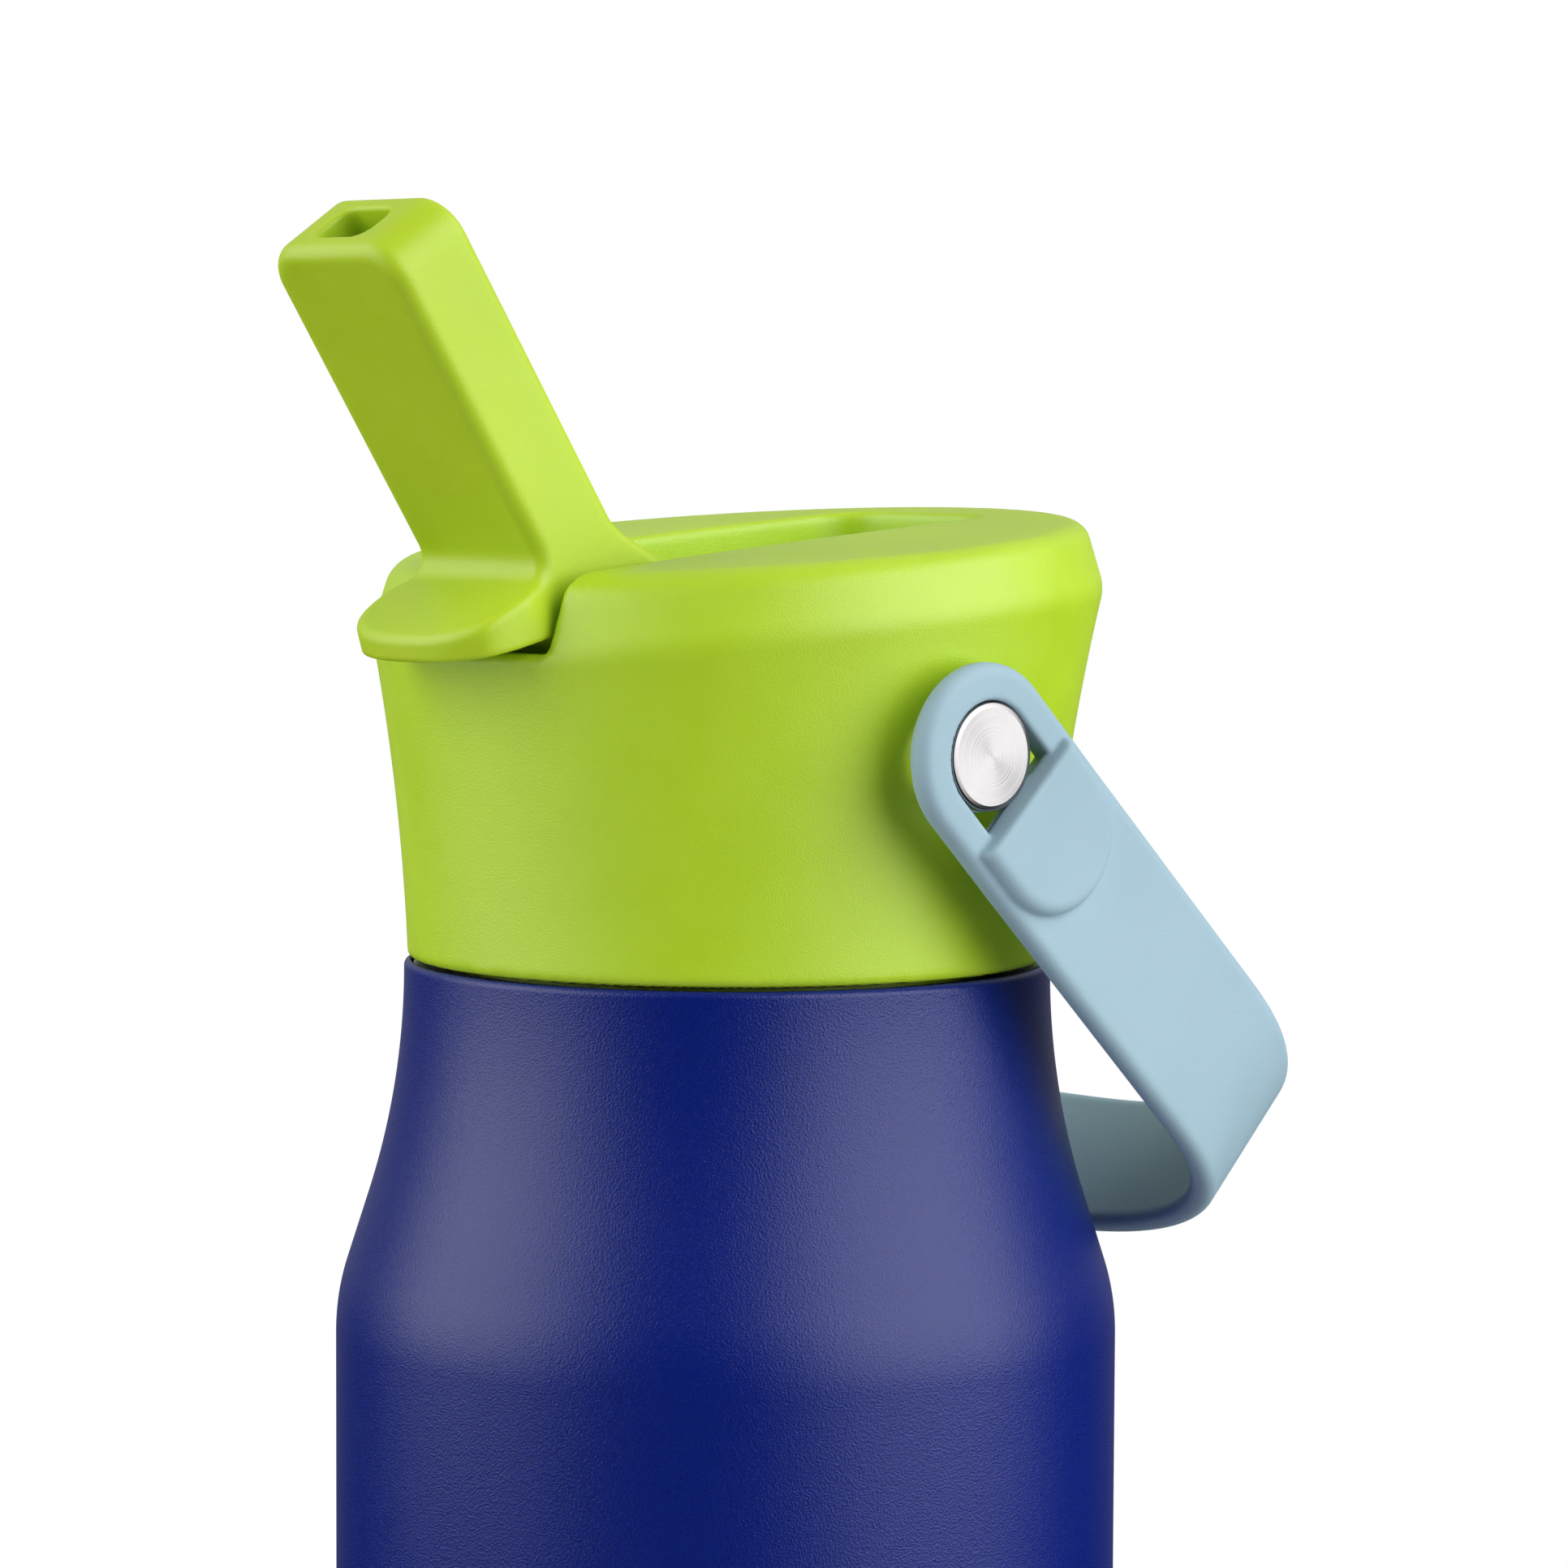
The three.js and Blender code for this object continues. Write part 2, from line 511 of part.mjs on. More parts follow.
function handle() {
  const half = STRAP_T / 2;
  const middleX = STRAP_IN_X + half;
  const power = 2 / BEND_POWER;
  // Middle line of the strap from one eyelet to the other, with its outward direction.
  const line = [];
  const steps = 9;
  for (let i = 0; i <= 2 * steps; i++) {
    const a = (Math.PI * i) / (2 * steps);
    const [c, s] = [Math.cos(a), Math.sin(a)];
    const x = middleX * Math.sign(c) * Math.abs(c) ** power;
    line.push(v2(Math.abs(x) < 1e-6 ? 0 : x, ARM_LENGTH + BEND_LENGTH * Math.abs(s) ** power));
  }
  line.unshift(v2(middleX, 0), v2(middleX, ARM_LENGTH / 2));
  line.push(v2(-middleX, ARM_LENGTH / 2), v2(-middleX, 0));
  const rings = line.map((p, i) => {
    const before = line[Math.max(0, i - 1)];
    const after = line[Math.min(line.length - 1, i + 1)];
    const along = after.clone().sub(before).normalize();
    const out = v2(along.y, -along.x);
    const bend = THREE.MathUtils.clamp((p.y - ARM_LENGTH) / BEND_LENGTH, 0, 1);
    const w = STRAP_HALF_W + (CROSSBAR_HALF_W - STRAP_HALF_W) * bend;
    const edge = 0.9;
    const section = [
      [half, edge - w], [half - edge, -w], [edge - half, -w], [-half, edge - w],
      [-half, w - edge], [edge - half, w], [half - edge, w], [half, w - edge],
    ];
    return section.map(([n, z]) => new THREE.Vector3(p.x + out.x * n, p.y + out.y * n, z));
  });
  let body = loft(rings);
  const padR = 7.3;
  const padStart = 5;
  const pad = [...arc(9.6, 0, padR, -90, 90, 8), v2(padStart, padR), v2(padStart, -padR)];
  const padTop = STRAP_IN_X + STRAP_T + 1.2;
  const holeR = BUTTON_R + GAP;
  const slot = [v2(padStart, -holeR), v2(padStart, holeR), ...arc(0, 0, holeR, 90, 270, 12)];
  const ledgeX = STRAP_IN_X + 1.1;
  for (const side of [1, -1]) {
    const place = { y: 0, z: 0, side };
    const span = (a, b) => (side > 0 ? [a, b] : [-b, -a]);
    body = body.add(rodX(EYELET_R, STRAP_IN_X, STRAP_IN_X + STRAP_T, { ...place, facets: 32 }));
    body = body.add(alongX(pad, ...span(STRAP_IN_X + 1, padTop)));
    const ledge = rodX(holeR + 0.05, STRAP_IN_X - 1, ledgeX, { ...place, facets: 32 });
    body = body.subtract(alongX(slot, ...span(STRAP_IN_X - 1, padTop + 1)).subtract(ledge));
    body = body.subtract(rodX(BUSH_R + GAP, STRAP_IN_X - 1, padTop + 1, place));
  }
  return geometryOf(body);
}

const pivotPlace = (side) => ({ y: PIVOT_Y, z: PIVOT_Z, side, facets: 24 });

function handleButton(side) {
  const top = BUTTON_X + BUTTON_T;
  return turnedX([
    v2(0, 27.8), v2(SHANK_R, 27.8), v2(SHANK_R, BUTTON_X), v2(BUTTON_R - 0.2, BUTTON_X), v2(BUTTON_R, BUTTON_X + 0.2),
    v2(BUTTON_R, top - 0.35), v2(BUTTON_R - 0.35, top), v2(0, top),
  ], pivotPlace(side));
}

function handleBush(side) {
  return turnedX(ring(SHANK_R + GAP, BUSH_R, BOSS_FACE_X + GAP, BUTTON_X - 0.25), pivotPlace(side));
}

function handleInsert(side) {
  return turnedX(ring(SHANK_R + GAP, BUSH_R, 27.5, BOSS_FACE_X - 0.35), pivotPlace(side));
}

// ---------- materials ----------

const finish = (color, roughness, metalness = 0) =>
  new THREE.MeshStandardMaterial({ color, roughness, metalness });

const powderBlue = () => finish("#0b1a6e", 0.45, 0.3);
const steel = () => finish("#c9c9cc", 0.28, 1);
const lime = () => finish("#a5cf2a", 0.5);
const softLime = () => finish("#b2da3a", 0.55);
const iceBlue = () => finish("#aecddd", 0.65);
const silicone = () => finish("#e4e6e4", 0.6);
const clearPlastic = () => finish("#dfeaf0", 0.2);
const brass = () => finish("#b58e45", 0.35, 1);
const solder = () => finish("#5a5f63", 0.4);

// ---------- assembly ----------

const bottle = new THREE.Group();

function add(name, geometry, material) {
  const mesh = new THREE.Mesh(geometry, material);
  mesh.name = name;
  bottle.add(mesh);
  return mesh;
}

add("outer_shell", outerShell(), powderBlue());
add("inner_liner", innerLiner(), steel());
add("vacuum_base", vacuumBase(), steel());
add("vacuum_seal_bead", sealBead(), solder());
add("vacuum_getter", getter(), solder());
add("base_cover", baseCover(), steel());
add("neck_gasket", neckGasket(), silicone());
add("lid_shell", lidShell(), lime());
add("lid_core", lidCore(), lime());
add("spout_seal", spoutSeal(), silicone());
add("vent_valve", ventValve(), silicone());
add("straw_socket", strawSocket(), silicone());
add("straw", straw(), clearPlastic());

const spoutMesh = add("spout", spout(), softLime());
spoutMesh.position.set(0, HUB_Y, HUB_Z);
spoutMesh.rotation.x = rad(SPOUT_LEAN);

const handleMesh = add("handle", handle(), iceBlue());
handleMesh.position.set(0, PIVOT_Y, PIVOT_Z);
handleMesh.rotation.x = -rad(HANDLE_DROOP);

for (const [name, side] of [["left", -1], ["right", 1]]) {
  add(`spout_pin_${name}`, spoutPin(side), steel());
  add(`handle_button_${name}`, handleButton(side), steel());
  add(`handle_bush_${name}`, handleBush(side), silicone());
  add(`handle_insert_${name}`, handleInsert(side), brass());
}

export default bottle;
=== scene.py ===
"""Kids water bottle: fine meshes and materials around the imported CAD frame.

Lengths are millimetres until a mesh is made. Z is up and the spout is towards -Y.
"""

import functools
import math

import bpy
import numpy as np
from mathutils import Matrix, Vector


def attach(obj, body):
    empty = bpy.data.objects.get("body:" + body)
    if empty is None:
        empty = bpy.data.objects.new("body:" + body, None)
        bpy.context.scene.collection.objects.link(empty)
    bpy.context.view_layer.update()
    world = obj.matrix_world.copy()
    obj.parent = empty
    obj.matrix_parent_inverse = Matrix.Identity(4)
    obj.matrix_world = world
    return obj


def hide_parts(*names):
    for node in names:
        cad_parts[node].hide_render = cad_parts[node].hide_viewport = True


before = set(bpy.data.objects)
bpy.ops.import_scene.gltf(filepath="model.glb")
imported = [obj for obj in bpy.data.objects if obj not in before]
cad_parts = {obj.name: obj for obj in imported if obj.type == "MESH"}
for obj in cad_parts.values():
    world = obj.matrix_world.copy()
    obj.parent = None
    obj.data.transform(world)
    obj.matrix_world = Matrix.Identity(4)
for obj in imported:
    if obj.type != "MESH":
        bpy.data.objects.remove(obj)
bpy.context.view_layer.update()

# ---------- the bottle's driving dimensions, as in the CAD part ----------

MM = 0.001
GAP = 0.3
SEAM_Z = 140.0
RIM_Z = SEAM_Z - 0.5
BODY_R = 36.5
NECK_R = 30.15
SHELL_WALL = 0.5
LINER_WALL = 0.5
NECK_END_Z = SEAM_Z - 0.9
NECK_ARC_R = 70.0
SHOULDER_ARC_R = 22.0
SHOULDER_SLOPE = 17.7
MOUTH_R = 27.0
LINER_R = 33.3
LINER_FLOOR_Z = 9.0
VACUUM_BASE_Z = 5.2
COVER_R = 34.3
COVER_TOP_Z = 4.4
COVER_T = 0.8

THREAD_LEAD = 5.0
THREAD_TURNS = 1.25
THREAD_ROOT_H = 1.9
THREAD_CREST_H = 0.9
MOUTH_CREST_R = 26.0
PLUG_R = 25.4
PLUG_CREST_R = 26.6
MOUTH_THREAD_Z = SEAM_Z - 11.5

LID_FLARE = (29.8, 0.0511, 0.002407)
LID_EDGE = (33.44, 0.083, -0.00145)
LID_TOP = (38.76, 0.084)
LID_EDGE_Y = 34.2
LID_CHAMFER = 0.31
LID_WALL = 1.7
LID_BOTTOM = 0.05
LID_LEAN = 0.016
LID_CROWN = 0.3
LID_CROWN_R = 31

HUB_Y = -20.5
HUB_Z = SEAM_Z + 31.3
HUB_R = 7.6
SPOUT_LEAN = 33.54
SPOUT_HALF_W = 8.7
SPOUT_LENGTH = 42.8
SLOT_HALF_W = 10.4
SLOT_END_Y = 25.2
SLOT_CORNER_R = 5.0
NOTCH_Z = 29.3
WELL_Z = 22.9
WELL_MID_Y = -20.2
WELL_HALF_Y = 9.2
SLOT_WALL = 1.6
PIN_R = 1.25

BLADE_FRONT_T = -4.5
BLADE_BACK_T = 4.3
TIP_CORNER_R = 3.8
TAB_HALF_W = 10.1
TAB_POWER = 2.8
TAB_ROOT_T = -5.5
MOUTH_HALF_W = 3.4
MOUTH_HALF_T = 2.3

PIVOT_Y = -2.2
PIVOT_Z = SEAM_Z + 20.53
HANDLE_DROOP = 44.5
STRAP_IN_X = 34.6
STRAP_T = 2.5
STRAP_HALF_W = 8.3
CROSSBAR_HALF_W = 7.65
ARM_SPLAY = 0.00033
EYELET_R = 8.3
STRAP_EDGE_R = 1.1
ARM_LENGTH = 40.0
BEND_LENGTH = 22.0
BEND_POWER = 2.5
PAD_RISE = 1.35
PAD_HALF_W = 7.3
PAD_FLAT = 4.8
HOLE_FLAT = 5.7
PAD_ARC = 10.2
BUTTON_R = 4.85
BUTTON_T = 1.4
BUTTON_X = 35.7
SHANK_R = 1.6
BUSH_R = 3.0
BOSS_FACE_X = 34.25
BOSS_R = 5.0

STRAW_Y = -17.0
STRAW_R = 3.2
STRAW_BORE_R = 2.5
PLATE_LOW = SEAM_Z + 1.8
PLATE_HIGH = SEAM_Z + 4.0
TOWER_TOP_Z = SEAM_Z + 22.3
CUP_Z = SEAM_Z + 16.0
SPIGOT_Z = SEAM_Z - 7.0
VENT_Y = 12.0

# ---------- camera ----------

CAMERA_AZIMUTH = 47.813
CAMERA_REACH = 501.339
CAMERA_HEIGHT = SEAM_Z + 51.932
CAMERA_PITCH = 4.099
CAMERA_YAW = -0.597
CAMERA_ROLL = 0.267
CAMERA_LENS = 123.72
SENSOR = 36.0
ROOM_DARK = 0.005
ROOM_BRIGHT = 0.5


def make_camera():
    data = bpy.data.cameras.new("camera")
    data.lens = CAMERA_LENS
    data.sensor_width = SENSOR
    data.clip_start = 0.01
    camera = bpy.data.objects.new("camera", data)
    bpy.context.scene.collection.objects.link(camera)
    place = math.radians(CAMERA_AZIMUTH)
    heading = math.radians(CAMERA_AZIMUTH + CAMERA_YAW)
    pitch = math.radians(CAMERA_PITCH)
    roll = math.radians(CAMERA_ROLL)
    level = math.cos(pitch)
    forward = Vector((-math.sin(heading) * level, math.cos(heading) * level, -math.sin(pitch)))
    right = Vector((math.cos(heading), math.sin(heading), 0))
    up = right.cross(forward)
    rolled = right * math.cos(roll) + up * math.sin(roll)
    up = up * math.cos(roll) - right * math.sin(roll)
    right = rolled
    spot = Vector((CAMERA_REACH * math.sin(place), -CAMERA_REACH * math.cos(place), CAMERA_HEIGHT)) * MM
    axes = Matrix((right, up, -forward)).transposed().to_4x4()
    camera.matrix_world = Matrix.Translation(spot) @ axes
    bpy.context.scene.camera = camera


# ---------- meshes: turned profiles ----------


def make_piece(looks, node, body, look, shape):
    """A smooth mesh object in the look given, that stands for one CAD node."""
    points, faces = shape
    name = node + "_mesh"
    mesh = bpy.data.meshes.new(name)
    points = np.asarray(points, float) * MM
    mesh.from_pydata(points.tolist(), [], [tuple(int(i) for i in f) for f in faces])
    mesh.validate()
    mesh.shade_smooth()
    mesh.update()
    piece = bpy.data.objects.new(name, mesh)
    bpy.context.scene.collection.objects.link(piece)
    mesh.materials.append(looks[look])
    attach(piece, body)
    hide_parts(node)


def moved(shape, x=0.0, y=0.0, z=0.0):
    points, faces = shape
    return points + np.array((x, y, z)), faces


def arc(x, y, radius, start, end, steps):
    return [
        (x + radius * math.cos(math.radians(a)), y + radius * math.sin(math.radians(a)))
        for a in np.linspace(start, end, steps + 1)
    ]


def rounded(corners, steps=5):
    """A closed outline of (radius, height, fillet) corners, each corner turned into an arc."""
    outline = []
    for i, (x, y, fillet) in enumerate(corners):
        here = np.array((x, y))
        before = np.array(corners[i - 1][:2]) - here
        after = np.array(corners[(i + 1) % len(corners)][:2]) - here
        reach_before, reach_after = np.linalg.norm(before), np.linalg.norm(after)
        if fillet <= 0 or min(reach_before, reach_after) < 1e-6:
            outline.append((x, y))
            continue
        before, after = before / reach_before, after / reach_after
        half = math.acos(np.clip(before @ after, -1, 1)) / 2
        cut = min(fillet / math.tan(half), 0.48 * reach_before, 0.48 * reach_after)
        first, last = here + before * cut, here + after * cut
        for u in np.linspace(0, 1, steps + 1):
            outline.append(tuple((1 - u) ** 2 * first + 2 * u * (1 - u) * here + u**2 * last))
    return outline


def turn(outline, segments=96, ridge=None):
    """A closed (radius, height) outline turned about Z. ridge(angles, x, z) moves a radius."""
    angles = np.linspace(0, 2 * math.pi, segments, endpoint=False)
    points, rows = [], []
    for x, z in outline:
        if x < 1e-6:
            rows.append([len(points)] * segments)
            points.append((0.0, 0.0, z))
            continue
        rows.append(list(range(len(points), len(points) + segments)))
        reach = x + (ridge(angles, x, z) if ridge else 0) * np.ones(segments)
        points.extend(zip(reach * np.cos(angles), reach * np.sin(angles), np.full(segments, z)))
    x, z = np.array(outline).T
    inwards = np.sum(x * np.roll(z, -1) - np.roll(x, -1) * z) < 0
    faces = []
    for lower, upper in zip(rows, rows[1:] + rows[:1]):
        for j in range(segments):
            k = (j + 1) % segments
            corners = [lower[j], lower[k], upper[k], upper[j]]
            if inwards:
                corners.reverse()
            corners = [c for i, c in enumerate(corners) if c != corners[i - 1]]
            if len(corners) > 2:
                faces.append(corners)
    return np.array(points), faces


def along_x(points, side):
    """Turns a piece from about Z to about X, so that its heights lie along x on the side given."""
    x, y, z = np.asarray(points).T
    return np.stack([side * z, -side * y, x], axis=1)


# ---------- meshes: moulded shapes from distance fields ----------


def meet(a, b, radius):
    """Where two solids overlap, with a rounded edge."""
    corner = np.hypot(np.maximum(a + radius, 0), np.maximum(b + radius, 0))
    return np.minimum(np.maximum(a, b), -radius) + corner


def join(a, b, radius):
    """Two solids together, with a hollow fillet between them."""
    corner = np.hypot(np.maximum(radius - a, 0), np.maximum(radius - b, 0))
    return np.maximum(np.minimum(a, b), radius) - corner


def box2(x, y, half_x, half_y, radius):
    qx, qy = np.abs(x) - half_x + radius, np.abs(y) - half_y + radius
    return np.hypot(np.maximum(qx, 0), np.maximum(qy, 0)) + np.minimum(np.maximum(qx, qy), 0) - radius


def slope_of(field, p, step=0.02):
    grad = []
    for axis in range(3):
        shift = np.zeros(3)
        shift[axis] = step
        grad.append(field(*(p + shift).T) - field(*(p - shift).T))
    return np.stack(grad, axis=1) / (2 * step)


def settle(field, p, rounds):
    """Moves points onto the field's surface."""
    for _ in range(rounds):
        grad = slope_of(field, p)
        step = field(*p.T) / np.maximum((grad**2).sum(1), 0.1)
        p = p - np.clip(step, -0.4, 0.4)[:, None] * grad
    return p


def relax(p, faces):
    """Moves each point to the mean of its neighbours."""
    total, count = np.zeros_like(p), np.zeros(len(p))
    for a, b in ((0, 1), (1, 2), (2, 3), (3, 0)):
        for i, j in ((faces[:, a], faces[:, b]), (faces[:, b], faces[:, a])):
            np.add.at(total, i, p[j])
            np.add.at(count, i, 1)
    return total / np.maximum(count, 1)[:, None]


def skin(field, low, high, cell):
    """Quads over the zero surface of a field: one point in each grid cell that it crosses."""
    low, high = np.array(low, float), np.array(high, float)
    counts = np.ceil((high - low) / cell).astype(int) + 1
    ticks = [low[i] + cell * np.arange(counts[i]) for i in range(3)]
    x, y, z = np.meshgrid(*ticks, indexing="ij", sparse=True)
    value = np.broadcast_to(field(x, y, z), tuple(counts))
    inside = value < 0
    cells = tuple(counts - 1)
    full = np.zeros(cells, np.int8)
    offsets = [(i, j, k) for i in (0, 1) for j in (0, 1) for k in (0, 1)]
    for i, j, k in offsets:
        full += inside[i : i + cells[0], j : j + cells[1], k : k + cells[2]]
    where = np.argwhere((full > 0) & (full < 8))
    index = np.full(cells, -1)
    index[tuple(where.T)] = np.arange(len(where))
    corner = np.stack([value[tuple((where + o).T)] for o in offsets], axis=1)
    total, count = np.zeros((len(where), 3)), np.zeros(len(where))
    for a, first in enumerate(offsets):
        for b, second in enumerate(offsets):
            if sum(second) - sum(first) != 1 or sum(abs(p - q) for p, q in zip(first, second)) != 1:
                continue
            crossed = (corner[:, a] < 0) != (corner[:, b] < 0)
            fa, fb = corner[crossed, a], corner[crossed, b]
            share = (fa / (fa - fb))[:, None]
            total[crossed] += np.array(first) * (1 - share) + np.array(second) * share
            count[crossed] += 1
    points = low + cell * (where + total / count[:, None])
    faces = []
    for axis in range(3):
        u, v = np.eye(3, dtype=int)[(axis + 1) % 3], np.eye(3, dtype=int)[(axis + 2) % 3]
        step = np.eye(3, dtype=int)[axis]
        size = counts - step
        first = inside[: size[0], : size[1], : size[2]]
        second = inside[step[0] :, step[1] :, step[2] :]
        edges = np.argwhere(first != second)
        edges = edges[((edges - u - v) >= 0).all(1) & (edges < np.array(cells)).all(1)]
        quad = np.stack([index[tuple((edges - m).T)] for m in (u + v, v, 0 * u, u)], axis=1)
        outwards = first[tuple(edges.T)]
        quad[~outwards] = quad[~outwards][:, ::-1]
        faces.append(quad)
    faces = np.concatenate(faces)
    points = settle(field, points, 2)
    for _ in range(2):
        points = settle(field, relax(points, faces), 2)
    return points, faces


# ---------- bottle ----------


def shoulder_line(inset):
    """The wall's outer line from shoulder to neck, upwards, moved in by inset."""
    slope = math.radians(SHOULDER_SLOPE)
    neck_x = NECK_R + NECK_ARC_R
    hollow_x = neck_x - NECK_ARC_R * math.cos(slope)
    hollow_z = NECK_END_Z - NECK_ARC_R * math.sin(slope)
    round_x = BODY_R - SHOULDER_ARC_R * (1 - math.cos(slope))
    wall_top = hollow_z - (round_x - hollow_x) / math.tan(slope) - SHOULDER_ARC_R * math.sin(slope)
    lower = arc(BODY_R - SHOULDER_ARC_R, wall_top, SHOULDER_ARC_R - inset, 0, SHOULDER_SLOPE, 14)
    upper = arc(neck_x, NECK_END_Z, NECK_ARC_R + inset, 180 + SHOULDER_SLOPE, 180, 22)
    return lower + upper


def outer_shell_outline():
    toe, rim = 3.2, 0.6
    foot = arc(BODY_R - toe, toe + 0.6, toe, -60, 0, 10)
    wall = [(BODY_R, z) for z in np.linspace(10, 100, 19)]
    lip = arc(NECK_R - rim, NECK_END_Z + 0.05, rim, 0, 90, 8)
    inner_foot = arc(BODY_R - toe, toe + 0.6, toe - SHELL_WALL, 0, -60, 6)
    return foot + wall + shoulder_line(0) + lip + shoulder_line(SHELL_WALL)[::-1] + inner_foot


def thread(angles, z, start):
    """How far a helical ridge stands out, from 0 to 1, at each angle of one height."""
    height = np.zeros_like(angles)
    for lap in (0, 1):
        swept = angles + 2 * math.pi * lap
        off = np.abs(z - start - THREAD_LEAD * swept / (2 * math.pi))
        profile = np.clip((THREAD_ROOT_H / 2 - off) / ((THREAD_ROOT_H - THREAD_CREST_H) / 2), 0, 1)
        left = 2 * math.pi * THREAD_TURNS - swept
        run_out = np.clip(np.minimum(swept, left) / 0.5 + 0.05, 0, 1) * (left > 0)
        profile = profile * profile * (3 - 2 * profile)
        height = np.maximum(height, profile * run_out)
    return height


def inner_liner():
    def neck(wall, steps):
        out = []
        for u in np.linspace(0, 1, steps + 1):
            out.append((MOUTH_R + wall + (LINER_R - MOUTH_R) * u * u * (3 - 2 * u), SEAM_Z - 14 - 24 * u))
        return out

    corner, lip, z = 5.0, 0.25, LINER_FLOOR_Z
    flange = NECK_R - SHELL_WALL - GAP
    outline = [(0, z - LINER_WALL)] + arc(LINER_R - corner, z + corner, corner + LINER_WALL, -90, 0, 10)
    outline += neck(LINER_WALL, 20)[::-1] + [(MOUTH_R + LINER_WALL, RIM_Z - LINER_WALL)]
    outline += arc(flange - lip, RIM_Z - lip, lip, -90, 90, 6)
    outline += arc(MOUTH_R + lip, RIM_Z - lip, lip, 90, 180, 4)
    outline += [(MOUTH_R, h) for h in np.arange(RIM_Z - 0.8, SEAM_Z - 13.9, -0.22)]
    outline += neck(0, 20) + arc(LINER_R - corner, z + corner, corner, 0, -90, 10) + [(0, z)]

    def ridge(angles, x, h):
        if abs(x - MOUTH_R) > 1e-6:
            return 0
        return (MOUTH_CREST_R - MOUTH_R) * thread(angles, h, MOUTH_THREAD_Z)

    return turn(outline, 160, ridge)


def base_cover_outline():
    inner = COVER_R - COVER_T
    return rounded([
        (0, 0, 0), (COVER_R - 0.1, 0, 1.0), (COVER_R, COVER_TOP_Z, 0.2),
        (inner + 0.1, COVER_TOP_Z, 0.2), (inner, COVER_T, 0.6), (0, COVER_T, 0),
    ])


def vacuum_base_outline():
    """A dished plate, lower around its middle, where the dimple stands up."""
    z, edge, sheet = VACUUM_BASE_Z, BODY_R - SHELL_WALL - GAP, 0.7
    dimple = 1.6
    return rounded([
        (1, z + dimple, 0), (3, z + dimple, 0.4), (4, z, 0.4), (edge, z, 0.5),
        (edge, z + 3, 0.2), (edge - sheet, z + 3, 0.2), (edge - sheet, z + sheet, 0.4),
        (4.4, z + sheet, 0.4), (3.4, z + dimple + sheet, 0.4), (1, z + dimple + sheet, 0),
    ], 3)


def seal_bead_outline():
    z, radius = VACUUM_BASE_Z, 2.2
    return rounded([
        (0, z, 0), (1.5, z, 0.3), (radius, z + 0.5, 0.3),
        (radius, z + 1, 0.3), (1.2, z + 1.3, 0.3), (0, z + 1.3, 0),
    ])


def getter_outline():
    low, high, radius = VACUUM_BASE_Z + 1, VACUUM_BASE_Z + 2.2, 4
    return rounded([(0, low, 0), (radius, low, 0.3), (radius, high, 0.3), (0, high, 0)])


def gasket_outline():
    low, high = RIM_Z + GAP, PLATE_LOW - GAP
    inner, outer = PLUG_R + 0.6, 27.7
    return rounded([(inner, low, 0.35), (outer, low, 0.35), (outer, high, 0.35), (inner, high, 0.35)])


# ---------- lid ----------


def flare(z):
    return LID_FLARE[0] + LID_FLARE[1] * z + LID_FLARE[2] * z * z


def ramp_height(y):
    return HUB_Z - SEAM_Z - 5.3 + LID_TOP[1] * (y - HUB_Y)


def slot_field(x, y, z):
    """The space that the folded spout lies in, z above the seam."""
    front = -60.0
    middle, half = (SLOT_END_Y + front) / 2, (SLOT_END_Y - front) / 2
    plan = box2(x, y - middle, SLOT_HALF_W, half, SLOT_CORNER_R)
    notch = np.maximum(NOTCH_Z - z, y - WELL_MID_Y)
    ramp = np.maximum(ramp_height(y) - z, WELL_MID_Y + WELL_HALF_Y - y)
    well = np.maximum(WELL_Z - z, np.abs(y - WELL_MID_Y) - WELL_HALF_Y)
    in_notch = np.maximum(notch, y - (WELL_MID_Y - WELL_HALF_Y) - 1.0)
    return meet(plan, np.minimum(np.minimum(in_notch, ramp), well), 0.9)


def lid_walls(x, y, z):
    """The fields of the lid's side, chamfer and top, and the radius of the edge around the top."""
    r = np.hypot(x, y - LID_LEAN * z)
    edge_y = LID_EDGE_Y * y / np.maximum(r, 1)
    edge_z = LID_EDGE[0] + LID_EDGE[1] * edge_y + LID_EDGE[2] * edge_y**2
    side = (r - flare(z)) / np.sqrt(1 + (LID_FLARE[1] + 2 * LID_FLARE[2] * z) ** 2)
    chamfer = (r - flare(edge_z) + LID_CHAMFER * (z - edge_z)) / math.hypot(1, LID_CHAMFER)
    top = z - (LID_TOP[0] + LID_TOP[1] * y + LID_CROWN * (1 - (r / LID_CROWN_R) ** 2))
    return side, chamfer, top, 1.5 + 0.6 * np.clip(-edge_y / LID_EDGE_Y, 0, 1)


